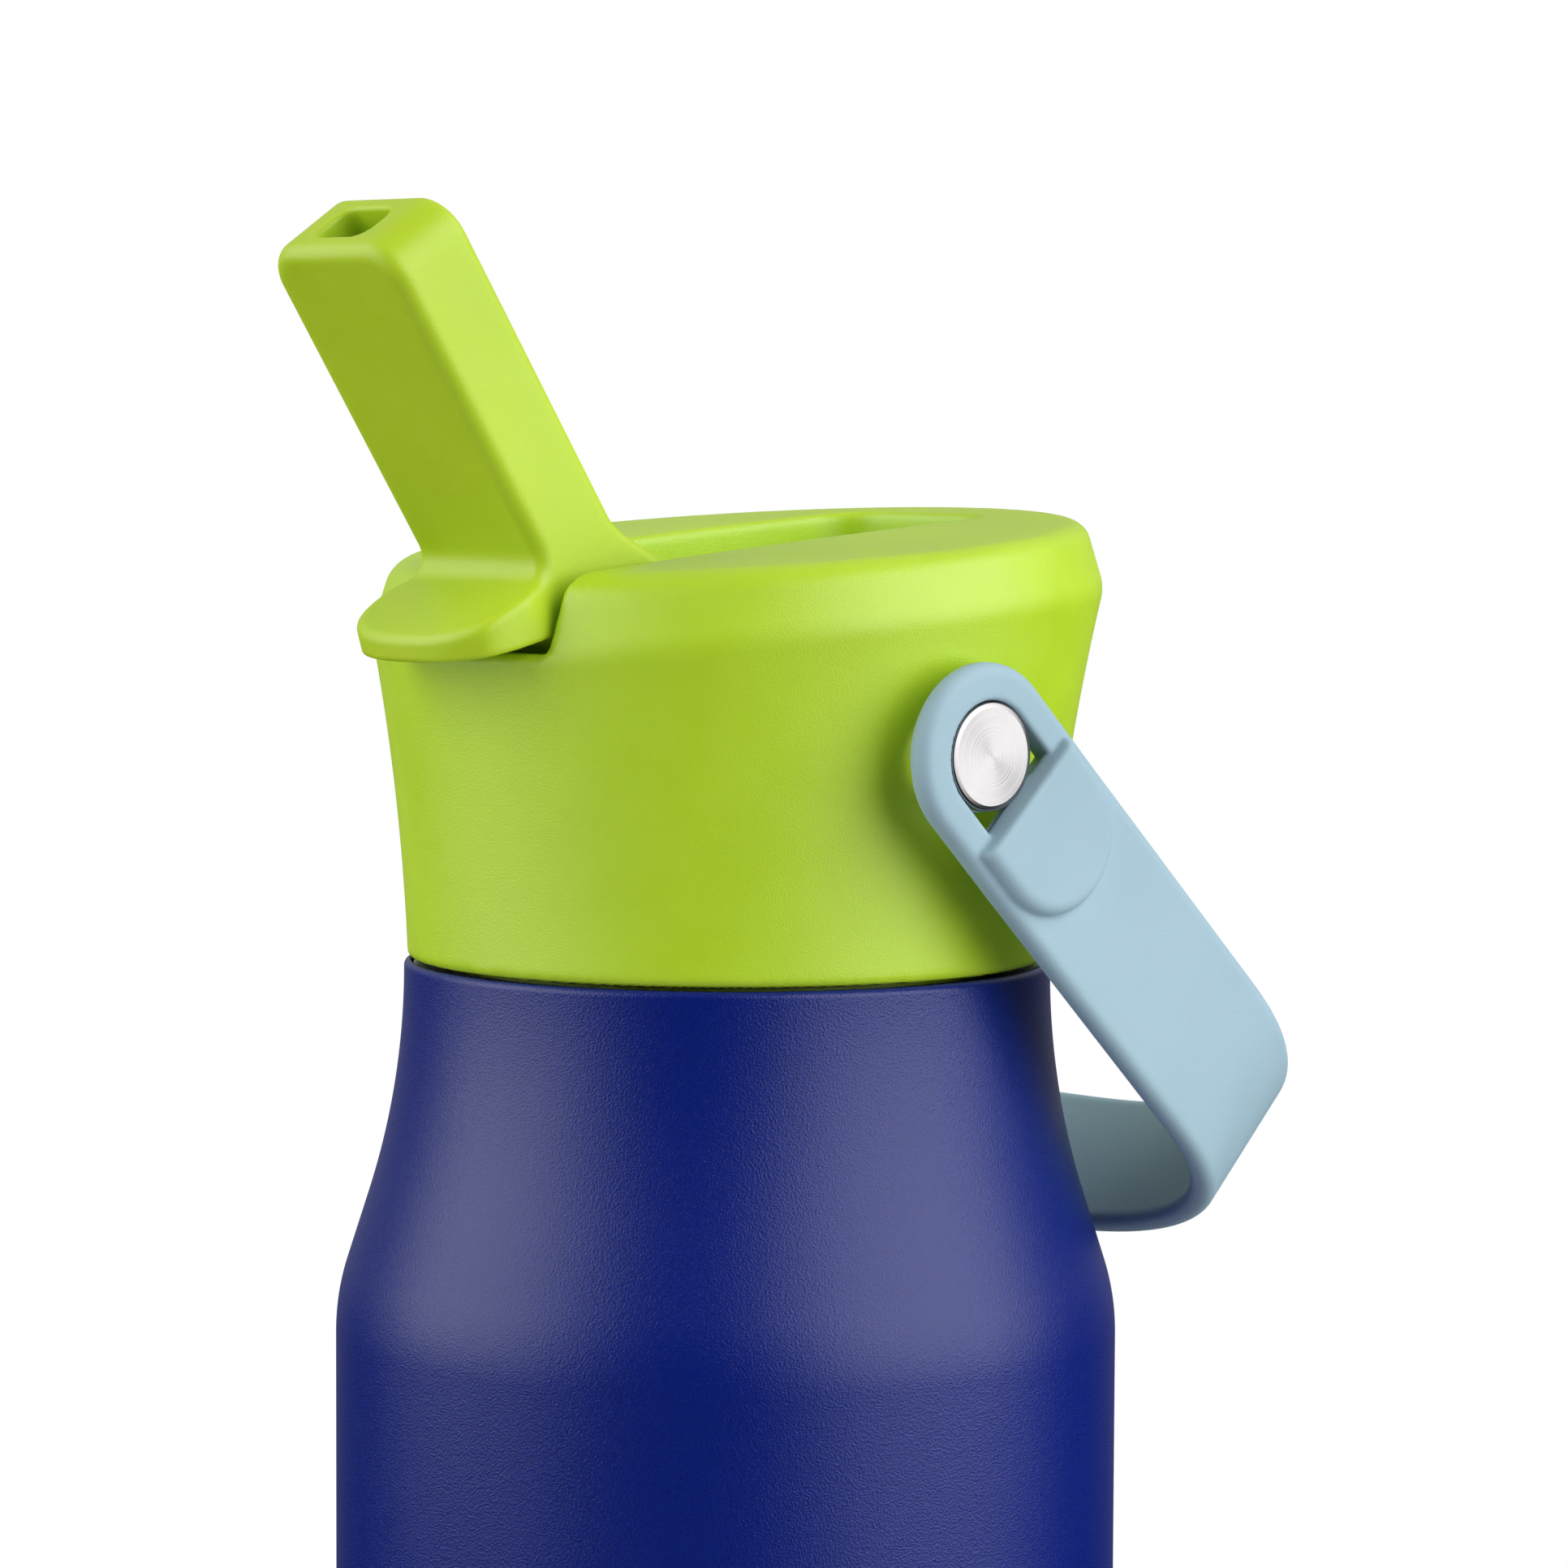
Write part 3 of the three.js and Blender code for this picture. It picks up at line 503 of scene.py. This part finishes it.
def lid_field(x, y, z):
    """The lid's shell with its slot, its bosses for the handle and the bores for every pin."""
    side, chamfer, top, top_round = lid_walls(x, y, z)
    body = meet(meet(side, chamfer, 0.45), top, top_round)
    body = meet(body, LID_BOTTOM - z, 0.6)
    slot = slot_field(x, y, z)
    roof = LID_WALL + 0.2
    inside = np.maximum(np.maximum(side + LID_WALL, chamfer + roof), top + roof)
    hollow = np.maximum(inside, SLOT_WALL - slot)
    across = np.abs(x)
    notch_floor = np.maximum(np.maximum(across - 13, y + 28), 20.8 - z)
    hollow = np.maximum(hollow, -notch_floor)
    pivot = np.hypot(y - PIVOT_Y, z - (PIVOT_Z - SEAM_Z))
    boss = np.maximum(meet(pivot - BOSS_R, across - BOSS_FACE_X, 0.3), 29 - across)
    body = join(body, boss, 0.2)
    hollow = np.maximum(hollow, -np.maximum(pivot - 5.2, 26.4 - across))
    body = meet(body, -hollow, 0.3)
    body = meet(body, -slot, 0.7)
    insert_bore = np.maximum(pivot - BUSH_R - GAP, 27.2 - across)
    body = meet(body, -insert_bore, 0.25)
    pin_bore = np.hypot(y - HUB_Y, z - (HUB_Z - SEAM_Z)) - PIN_R - GAP
    pin_bore = np.maximum(pin_bore, np.abs(across - SLOT_HALF_W - 0.8) - 2)
    tower_hole = np.maximum(np.hypot(x, y - HUB_Y) - 7.4, np.abs(z - WELL_Z + 1.5) - 3)
    return np.maximum(np.maximum(body, -pin_bore), -tower_hole)


def lid_core_field(x, y, z):
    """Threaded plug, plate, tower and spigot; z from the floor."""
    r = np.hypot(x, y)
    angle = np.mod(np.arctan2(y, x), 2 * math.pi)
    start = MOUTH_THREAD_Z + THREAD_LEAD / 2
    ridge = 0
    if np.any((z > start - 2) & (z < start + THREAD_LEAD * THREAD_TURNS + 2)):
        ridge = (PLUG_CREST_R - PLUG_R) * thread(angle, z, start)
    skirt = np.maximum(r - PLUG_R - ridge, PLUG_R - 1.8 - r) / 1.25
    skirt = meet(skirt, np.maximum(SEAM_Z - 13 - z, z - PLATE_HIGH), 0.4)
    plate = meet(r - 27.8, np.maximum(PLATE_LOW - z, z - PLATE_HIGH), 0.3)
    body = join(skirt, plate, 0.3)
    off_tower = np.hypot(x, y - HUB_Y)
    off_straw = np.hypot(x, y - STRAW_Y)
    body = join(body, meet(off_tower - 6.9, np.maximum(PLATE_HIGH - 1 - z, z - TOWER_TOP_Z), 0.3), 0.8)
    body = join(body, meet(off_straw - 3, np.maximum(SPIGOT_Z - z, z - PLATE_HIGH), 0.3), 0.6)
    body = np.maximum(body, -np.maximum(off_tower - 5.3, CUP_Z - z))
    body = np.maximum(body, -np.maximum(off_tower - 2.6, PLATE_HIGH - 1 - z))
    body = np.maximum(body, -np.maximum(off_straw - 2, z - PLATE_HIGH + 0.4))
    return np.maximum(body, 1.5 - np.hypot(x, y - VENT_Y))


def spout_seal_field(x, y, z):
    post = meet(np.hypot(x, y - HUB_Y) - 5, np.maximum(CUP_Z + GAP - z, z - HUB_Z + 6.4), 0.4)
    barrel = np.hypot(y - HUB_Y, z - HUB_Z) - HUB_R - GAP
    return np.maximum(np.maximum(post, -barrel), 2.6 - np.hypot(x, y - HUB_Y))


# ---------- what the lid holds ----------


def valve_outline():
    """An umbrella valve: wide skirt under the plate, stem through it, barb above."""
    skirt, stem, barb = 4.2, 1.2, 2.4
    return rounded([
        (0, PLATE_LOW - 1.6, 0), (skirt, PLATE_LOW - 0.9, 0.2), (skirt, PLATE_LOW - GAP, 0.1),
        (stem, PLATE_LOW - GAP, 0.1), (stem, PLATE_HIGH + GAP, 0.1), (barb, PLATE_HIGH + GAP, 0.3),
        (1.6, PLATE_HIGH + 2.2, 0.4), (0, PLATE_HIGH + 2.6, 0),
    ], 3)


def straw_socket_outline():
    """A sleeve around the spigot above and the straw below, with a stop between them."""
    spigot, stop, bore = 3 + GAP, 2.2, STRAW_R + GAP
    outer, top, foot = bore + 1.4, PLATE_LOW - 0.5, SPIGOT_Z - 13
    return rounded([
        (spigot, top, 0.3), (spigot, SPIGOT_Z - 1.5, 0.2), (stop, SPIGOT_Z - 1.5, 0.2),
        (stop, SPIGOT_Z - 3, 0.2), (bore, SPIGOT_Z - 3, 0.2), (bore, foot, 0.3),
        (outer, foot, 0.4), (outer, top, 0.4),
    ], 3)


def straw():
    """A tube whose foot is cut on the slant."""
    top, foot = SPIGOT_Z - 3.4, LINER_FLOOR_Z + 2
    heights = np.linspace(foot, top, 24)
    tube = [(STRAW_R, h) for h in heights] + [(STRAW_BORE_R, h) for h in heights[::-1]]
    points, faces = moved(turn(tube, 48), y=STRAW_Y)
    cut = foot + np.clip((STRAW_Y + 4 - points[:, 1]) * 0.8, 0, 8) * 0.9
    points[:, 2] = np.maximum(points[:, 2], np.minimum(cut, foot + 6))
    return points, faces


# ---------- spout, in its own frame: t to its back, s to its tip ----------


def spout_profile(t, s):
    """The spout from its side, and how much nearer a point is to the tab's underside than to its top."""
    thick = (BLADE_BACK_T - BLADE_FRONT_T) / 2
    middle = (BLADE_BACK_T + BLADE_FRONT_T) / 2
    profile = join(np.maximum(np.abs(t - middle) - thick, -s), np.hypot(t, s) - HUB_R, 2.6)
    top = s - (9.9 - 0.07 * (t + 15))
    under = (7.3 - 0.345 * (t + 15.5) - s) / 1.06
    tab = np.maximum(np.maximum(top, under), t + 1)
    return join(profile, tab, 2.4), under - top


def spout_plan(across, t, s):
    """The spout's width: even along the blade, wider and round-ended on the tab."""
    out = np.clip((BLADE_FRONT_T - t) / 5, 0, 1)
    blade_half_w = SPOUT_HALF_W + 0.1
    half_w = blade_half_w + (TAB_HALF_W - blade_half_w) * out * out * (3 - 2 * out)
    reach = np.clip(11.5 - 0.35 * (s - 7.3), 9.5, 12.5)
    lobe = (across / 10.9) ** TAB_POWER + (np.maximum(TAB_ROOT_T - t, 0) / reach) ** TAB_POWER
    plan = meet((lobe ** (1 / TAB_POWER) - 1) * 10.5, across - half_w, 1.5)
    return meet(plan, s - SPOUT_LENGTH - 0.1, TIP_CORNER_R)


def spout_field(x, t, s):
    across = np.abs(x)
    profile, low_on_lip = spout_profile(t, s)
    in_tab = np.clip((BLADE_FRONT_T - t) / 3, 0, 1)
    edge = 0.9 + 0.6 * np.clip(-t / 3, 0, 1) - 0.7 * in_tab - 0.5 * in_tab * np.clip(low_on_lip, 0, 1)
    body = meet(profile, spout_plan(across, t, s), edge)
    mouth = np.maximum(box2(x, t, MOUTH_HALF_W, MOUTH_HALF_T, 1.5), -s)
    body = meet(body, -mouth, 0.3)
    lean = math.radians(SPOUT_LEAN)
    down = -(math.sin(lean) * t + math.cos(lean) * s)
    port = np.maximum(np.hypot(x, math.cos(lean) * t - math.sin(lean) * s) - 2.4, -down - 0.5)
    body = meet(body, -port, 0.3)
    return np.maximum(body, -np.maximum(np.hypot(t, s) - PIN_R - GAP, 4.5 - across))


# ---------- handle, in its own frame: s along the arms, w across the strap ----------


def handle_field(x, s, w):
    """A strap bent to a squarish U, with an eyelet and a raised pad on each arm."""
    half = STRAP_T / 2
    mid_x = STRAP_IN_X + half
    across = np.abs(x)
    arm_x = mid_x * (1 + ARM_SPLAY * np.maximum(s - PAD_ARC, 0))
    u = across / arm_x
    v = np.maximum(s - ARM_LENGTH, 0) / BEND_LENGTH
    reach = np.maximum(u**BEND_POWER + v**BEND_POWER, 1e-9) ** (1 / BEND_POWER)
    tilt_u = (u / reach) ** (BEND_POWER - 1) / arm_x
    tilt_v = (v / reach) ** (BEND_POWER - 1) / BEND_LENGTH
    off = (reach - 1) / np.maximum(np.hypot(tilt_u, tilt_v), 1e-6)
    bend = np.clip((s - ARM_LENGTH) / BEND_LENGTH, 0, 1)
    half_w = STRAP_HALF_W + (CROSSBAR_HALF_W - STRAP_HALF_W) * bend * bend * (3 - 2 * bend)
    strap = np.maximum(meet(np.abs(off) - half, np.abs(w) - half_w, STRAP_EDGE_R), -s)
    turn_r = np.hypot(s, w)
    eyelet = meet(turn_r - EYELET_R, np.abs(across - mid_x) - half, STRAP_EDGE_R)
    body = np.minimum(strap, eyelet)
    hole_r = BUTTON_R + 0.15
    hole = np.maximum(np.where(s > 0, np.abs(w), turn_r) - hole_r, s - HOLE_FLAT)
    ledge = np.maximum(turn_r - hole_r - 0.05, across - STRAP_IN_X - 0.7)
    body = meet(body, -np.maximum(hole, -ledge), 0.3)
    outline = np.where(s > PAD_ARC, np.hypot(s - PAD_ARC, w), np.abs(w)) - PAD_HALF_W
    above = across - STRAP_IN_X - STRAP_T
    wall = (PAD_FLAT + 0.25 * (above + 0.8) + 0.03 * w - s) / 1.03
    pad = meet(outline, above - PAD_RISE, 1.25)
    pad = meet(meet(pad, wall, 0.35), -0.8 - above, 0.2)
    body = join(body, pad, 0.12)
    return np.maximum(body, BUSH_R + GAP - turn_r)


def tilted(shape, degrees, y, z):
    """A piece in its own frame, tilted about X and put at (y, z)."""
    points, faces = shape
    turn_x = Matrix.Rotation(math.radians(degrees), 3, "X")
    return points @ np.array(turn_x).T + np.array((0, y, z)), faces


# ---------- what the joints turn on ----------


def button_outline():
    face = BUTTON_X + BUTTON_T
    return rounded([
        (0, 27.8, 0), (SHANK_R, 27.8, 0.2), (SHANK_R, BUTTON_X, 0.2), (BUTTON_R, BUTTON_X, 0.2),
        (BUTTON_R, face - 0.1, 0.45), (BUTTON_R - 0.5, face, 0.3), (0, face, 0),
    ], 4)


def sleeve_outline(low, high, fillet):
    """A tube around the button's shank."""
    bore = SHANK_R + GAP
    return rounded([(bore, low, 0.1), (BUSH_R, low, fillet), (BUSH_R, high, fillet), (bore, high, 0.1)], 3)


def pin_outline():
    end = SLOT_HALF_W + SLOT_WALL + 0.8
    return rounded([(0, 4.8, 0), (PIN_R, 4.8, 0.2), (PIN_R, end, 0.2), (0, end, 0)], 3)


# ---------- materials ----------


class Nodes:
    """A material's nodes, made and linked by short calls."""

    def __init__(self, name):
        self.material = bpy.data.materials.new(name)
        self.material.use_nodes = True
        self.tree = self.material.node_tree
        self.shader = self.tree.nodes["Principled BSDF"]
        coordinates = self.tree.nodes.new("ShaderNodeTexCoord")
        self.place = coordinates.outputs["Object"]

    def node(self, kind, inputs=(), **settings):
        made = self.tree.nodes.new("ShaderNode" + kind)
        for key, value in settings.items():
            setattr(made, key, value)
        for key, value in dict(inputs).items():
            if isinstance(value, bpy.types.NodeSocket):
                self.tree.links.new(value, made.inputs[key])
            else:
                made.inputs[key].default_value = value
        return made

    def noise(self, scale, detail=2.0, roughness=0.5):
        inputs = {"Vector": self.place, "Scale": scale, "Detail": detail, "Roughness": roughness}
        return self.node("TexNoise", inputs).outputs["Fac"]

    def blend(self, share, first, second):
        mix = self.node("Mix", data_type="RGBA")
        self.tree.links.new(share, mix.inputs[0])
        mix.inputs[6].default_value = (*first, 1)
        mix.inputs[7].default_value = (*second, 1)
        return mix.outputs[2]

    def span(self, value, low, high, start=0.0, end=1.0):
        inputs = {"Value": value, "From Min": start, "From Max": end, "To Min": low, "To Max": high}
        return self.node("MapRange", inputs).outputs["Result"]

    def bump(self, height, distance, strength=1.0, under=None):
        inputs = {"Height": height, "Distance": distance, "Strength": strength}
        if under is not None:
            inputs["Normal"] = under
        return self.node("Bump", inputs).outputs["Normal"]

    def finish(self, links, constants):
        for key, value in links.items():
            self.tree.links.new(value, self.shader.inputs[key])
        for key, value in constants.items():
            self.shader.inputs[key].default_value = value
        return self.material


def plastic(name, dark, light, rough, grain, depth, constants):
    """A moulded surface: slightly mottled colour, uneven gloss and a fine grain."""
    n = Nodes(name)
    cloud = n.noise(60, 3)
    colour = n.blend(n.span(cloud, 0, 1, 0.35, 0.65), dark, light)
    gloss = n.span(n.noise(240, 2), rough - 0.04, rough + 0.04, 0.3, 0.7)
    fine = n.noise(grain, 3, 0.6)
    normal = n.bump(fine, depth)
    return n.finish({"Base Color": colour, "Roughness": gloss, "Normal": normal}, constants)


def powder_coat():
    n = Nodes("powder_blue")
    pits = {"Vector": n.place, "Scale": 5000.0, "Smoothness": 0.6, "Randomness": 1.0}
    peel = n.node("TexVoronoi", pits, feature="SMOOTH_F1")
    fine = n.noise(6200, 2, 0.6)
    cloud = n.noise(45, 2)
    speckle = n.span(fine, 0, 1, 0.3, 0.75)
    colour = n.blend(speckle, (0.0002, 0.006, 0.12), (0.0008, 0.015, 0.21))
    gloss = n.span(cloud, 0.29, 0.33, 0.3, 0.7)
    normal = n.bump(peel.outputs["Distance"], 0.00005, 0.45, n.bump(fine, 0.00005, 0.8))
    return n.finish(
        {"Base Color": colour, "Roughness": gloss, "Normal": normal},
        {"Specular IOR Level": 0.43},
    )


def turned_steel():
    """Lathe-turned steel: fine rings about the handle's axis, which stretch the highlight into a cone."""
    bright, rough = (0.43, 0.415, 0.42), 0.30
    n = Nodes("turned_steel")
    split = n.node("SeparateXYZ", {"Vector": n.place})
    off_y = n.node("Math", {0: split.outputs["Y"], 1: PIVOT_Y * MM}, operation="SUBTRACT").outputs[0]
    off_z = n.node("Math", {0: split.outputs["Z"], 1: PIVOT_Z * MM}, operation="SUBTRACT").outputs[0]
    offset = n.node("CombineXYZ", {"X": off_y, "Y": off_z}).outputs[0]
    radius = n.node("VectorMath", {0: offset}, operation="LENGTH").outputs["Value"]
    rings = {"W": radius, "Scale": 6000.0, "Detail": 3.0}
    rings = n.node("TexNoise", rings, noise_dimensions="1D").outputs["Fac"]
    tint = n.blend(rings, tuple(0.8 * c for c in bright), bright)
    gloss = n.span(rings, rough - 0.05, rough + 0.05, 0.3, 0.7)
    normal = n.bump(rings, 0.000006, 0.3)
    tangent = n.node("Tangent", direction_type="RADIAL", axis="X").outputs[0]
    return n.finish(
        {"Base Color": tint, "Roughness": gloss, "Normal": normal, "Tangent": tangent},
        {"Metallic": 1.0, "Anisotropic": 0.85},
    )


def plain_metal(name, dark, light, rough):
    n = Nodes(name)
    cloud = n.noise(180, 4)
    colour = n.blend(n.span(cloud, 0, 1, 0.3, 0.7), dark, light)
    scratches = n.noise(3500)
    gloss = n.span(scratches, rough - 0.05, rough + 0.06, 0.3, 0.7)
    normal = n.bump(scratches, 0.00002, 0.4)
    return n.finish({"Base Color": colour, "Roughness": gloss, "Normal": normal}, {"Metallic": 1.0})


def make_looks():
    """Every material under its own name."""
    lime_glow = {"Subsurface Radius": (0.6, 1.0, 0.1)}
    plastics = {
        "lime_plastic": (
            (0.44, 0.655, 0.011), (0.47, 0.695, 0.015), 0.42, 6000, 0.00004,
            {"Specular IOR Level": 0.75, "Subsurface Weight": 0.08, "Subsurface Scale": 0.003} | lime_glow,
        ),
        "soft_lime": (
            (0.435, 0.61, 0.012), (0.465, 0.645, 0.015), 0.45, 5200, 0.00003,
            {"Specular IOR Level": 0.55, "Subsurface Weight": 0.2, "Subsurface Scale": 0.004} | lime_glow,
        ),
        "ice_blue": (
            (0.31, 0.455, 0.535), (0.335, 0.485, 0.57), 0.6, 5200, 0.00003,
            {"Specular IOR Level": 0.35, "Subsurface Weight": 0.04, "Subsurface Scale": 0.003},
        ),
        "silicone": (
            (0.72, 0.73, 0.72), (0.78, 0.79, 0.78), 0.55, 4000, 0.00003,
            {"Subsurface Weight": 0.2, "Subsurface Scale": 0.003},
        ),
        # Near-black gasket: painted shade, so the seam gap under the lid reads dark
        "dark_silicone": ((0.03, 0.03, 0.035), (0.04, 0.04, 0.045), 0.6, 4000, 0.00003, {}),
        "clear_plastic": (
            (0.78, 0.84, 0.87), (0.84, 0.89, 0.91), 0.18, 3000, 0.00001,
            {"Transmission Weight": 0.85, "IOR": 1.45},
        ),
        "solder": ((0.10, 0.10, 0.11), (0.15, 0.15, 0.16), 0.5, 3000, 0.00005, {}),
    }
    looks = {name: plastic(name, *values) for name, values in plastics.items()}
    looks["powder_blue"] = powder_coat()
    looks["steel"] = plain_metal("steel", (0.52, 0.51, 0.52), (0.62, 0.61, 0.62), 0.28)
    looks["turned_steel"] = turned_steel()
    looks["brass"] = plain_metal("brass", (0.50, 0.34, 0.11), (0.60, 0.42, 0.15), 0.3)
    return looks


# ---------- stage ----------


def make_light(name, azimuth, elevation, reach, width, height, power):
    """A soft box that faces the lid from a compass direction, seen from the bottle."""
    data = bpy.data.lights.new(name, "AREA")
    data.shape = "RECTANGLE"
    data.size = width
    data.size_y = height
    data.energy = power
    lamp = bpy.data.objects.new(name, data)
    bpy.context.scene.collection.objects.link(lamp)
    a, e = math.radians(azimuth), math.radians(elevation)
    target = Vector((0, 0, 0.13))
    spot = target + reach * Vector((math.sin(a) * math.cos(e), -math.cos(a) * math.cos(e), math.sin(e)))
    lamp.location = spot
    lamp.rotation_euler = (target - spot).to_track_quat("-Z", "Y").to_euler()
    lamp.visible_camera = False
    return lamp


def make_room():
    """White for the camera. Everything else sees a dark room, brighter high up behind the bottle."""
    world = bpy.data.worlds.new("studio")
    bpy.context.scene.world = world
    world.use_nodes = True
    tree = world.node_tree
    tree.nodes.clear()
    path = tree.nodes.new("ShaderNodeLightPath")
    backdrop = tree.nodes.new("ShaderNodeBackground")
    backdrop.inputs["Color"].default_value = (1, 1, 1, 1)
    backdrop.inputs["Strength"].default_value = 1.0
    where = tree.nodes.new("ShaderNodeTexCoord")
    facing = tree.nodes.new("ShaderNodeVectorMath")
    facing.operation = "DOT_PRODUCT"
    heading = math.radians(CAMERA_AZIMUTH)
    facing.inputs[1].default_value = (-0.75 * math.sin(heading), 0.75 * math.cos(heading), 0.8)
    fade = tree.nodes.new("ShaderNodeMapRange")
    fade.interpolation_type = "SMOOTHSTEP"
    limits = {"From Min": 0.3, "From Max": 1.1, "To Min": ROOM_DARK, "To Max": ROOM_BRIGHT}
    for key, value in limits.items():
        fade.inputs[key].default_value = value
    room = tree.nodes.new("ShaderNodeBackground")
    room.inputs["Color"].default_value = (1, 1, 1, 1)
    mix = tree.nodes.new("ShaderNodeMixShader")
    out = tree.nodes.new("ShaderNodeOutputWorld")
    for source, target in (
        (where.outputs["Generated"], facing.inputs[0]),
        (facing.outputs["Value"], fade.inputs["Value"]),
        (fade.outputs["Result"], room.inputs["Strength"]),
        (path.outputs["Is Camera Ray"], mix.inputs["Fac"]),
        (room.outputs[0], mix.inputs[1]),
        (backdrop.outputs[0], mix.inputs[2]),
        (mix.outputs[0], out.inputs["Surface"]),
    ):
        tree.links.new(source, target)


def make_floor():
    """A pale disc that clears away before the camera's view reaches its edge."""
    points, faces = turn([(0, -0.4), (420, -0.4), (420, -0.1), (0, -0.1)], 96)
    mesh = bpy.data.meshes.new("floor")
    mesh.from_pydata((points * MM).tolist(), [], faces)
    floor = bpy.data.objects.new("floor", mesh)
    bpy.context.scene.collection.objects.link(floor)
    n = Nodes("floor")
    away = n.node("VectorMath", {0: n.place}, operation="LENGTH").outputs["Value"]
    clear = n.span(away, 1, 0, 0.15, 0.32)
    n.finish({"Alpha": clear}, {"Base Color": (0.6, 0.6, 0.61, 1), "Roughness": 0.7})
    mesh.materials.append(n.material)
    floor.visible_glossy = False


def make_stage():
    bpy.context.scene.view_settings.view_transform = "Standard"
    make_room()
    make_floor()
    make_light("key_right", CAMERA_AZIMUTH + 62, 23, 0.9, 1.3, 1.2, 15.5)
    make_light("key_left", CAMERA_AZIMUTH - 80, 22, 0.9, 1.1, 1.0, 9.4)
    card = make_light("front_card", 0, -12, 0.35, 0.3, 0.12, 0.09)
    card.visible_glossy = False


# ---------- assembly ----------


def add_bottle(add):
    add("outer_shell", "bottle", "powder_blue", turn(outer_shell_outline(), 256))
    add("inner_liner", "bottle", "steel", inner_liner())
    add("base_cover", "bottle", "steel", turn(base_cover_outline(), 192))
    add("vacuum_base", "bottle", "steel", turn(vacuum_base_outline(), 128))
    add("vacuum_seal_bead", "bottle", "solder", turn(seal_bead_outline(), 48))
    add("vacuum_getter", "bottle", "solder", moved(turn(getter_outline(), 64), x=16))
    # The gasket's near-black colour is painted shade for the seam gap
    add("neck_gasket", "seal_ring", "dark_silicone", turn(gasket_outline(), 160))


def add_lid(add):
    shell = skin(lid_field, (-35.6, -35.6, -0.6), (35.6, 35.6, 43), 0.58)
    add("lid_shell", "lid", "lime_plastic", moved(shell, z=SEAM_Z))
    core = skin(lid_core_field, (-28.6, -28.6, SEAM_Z - 14), (28.6, 28.6, TOWER_TOP_Z + 1), 0.55)
    add("lid_core", "lid", "lime_plastic", core)
    seal = skin(spout_seal_field, (-5.8, HUB_Y - 5.8, CUP_Z - 0.6), (5.8, HUB_Y + 5.8, HUB_Z - 5.8), 0.3)
    add("spout_seal", "lid", "silicone", seal)
    add("vent_valve", "lid", "silicone", moved(turn(valve_outline(), 64), y=VENT_Y))
    add("straw_socket", "lid", "silicone", moved(turn(straw_socket_outline(), 64), y=STRAW_Y))
    add("straw", "lid", "clear_plastic", straw())


def add_spout_and_handle(add):
    spout = skin(spout_field, (-10.6, -18.2, -9), (10.6, 9, 44), 0.29)
    add("spout", "spout", "soft_lime", tilted(spout, SPOUT_LEAN, HUB_Y, HUB_Z))
    strap = skin(handle_field, (-39.4, -9.6, -9.6), (39.4, 64.6, 9.6), 0.33)
    add("handle", "handle", "ice_blue", tilted(strap, -HANDLE_DROOP, PIVOT_Y, PIVOT_Z))


def add_pivots(add):
    """On each side a stud, its bush and its insert for the handle, and a stub pin for the spout."""
    bush = sleeve_outline(BOSS_FACE_X + GAP, BUTTON_X - 0.25, 0.15)
    insert = sleeve_outline(27.5, BOSS_FACE_X - 0.35, 0.2)
    for name, side in (("left", -1), ("right", 1)):
        for node, outline, look, y, z, segments in (
            ("handle_button_", button_outline(), "turned_steel", PIVOT_Y, PIVOT_Z, 128),
            ("handle_bush_", bush, "silicone", PIVOT_Y, PIVOT_Z, 64),
            ("handle_insert_", insert, "brass", PIVOT_Y, PIVOT_Z, 64),
            ("spout_pin_", pin_outline(), "steel", HUB_Y, HUB_Z, 48),
        ):
            points, faces = turn(outline, segments)
            add(node + name, "lid", look, moved((along_x(points, side), faces), y=y, z=z))


def main():
    make_camera()
    add = functools.partial(make_piece, make_looks())
    add_bottle(add)
    add_lid(add)
    add_spout_and_handle(add)
    add_pivots(add)
    make_stage()


main()
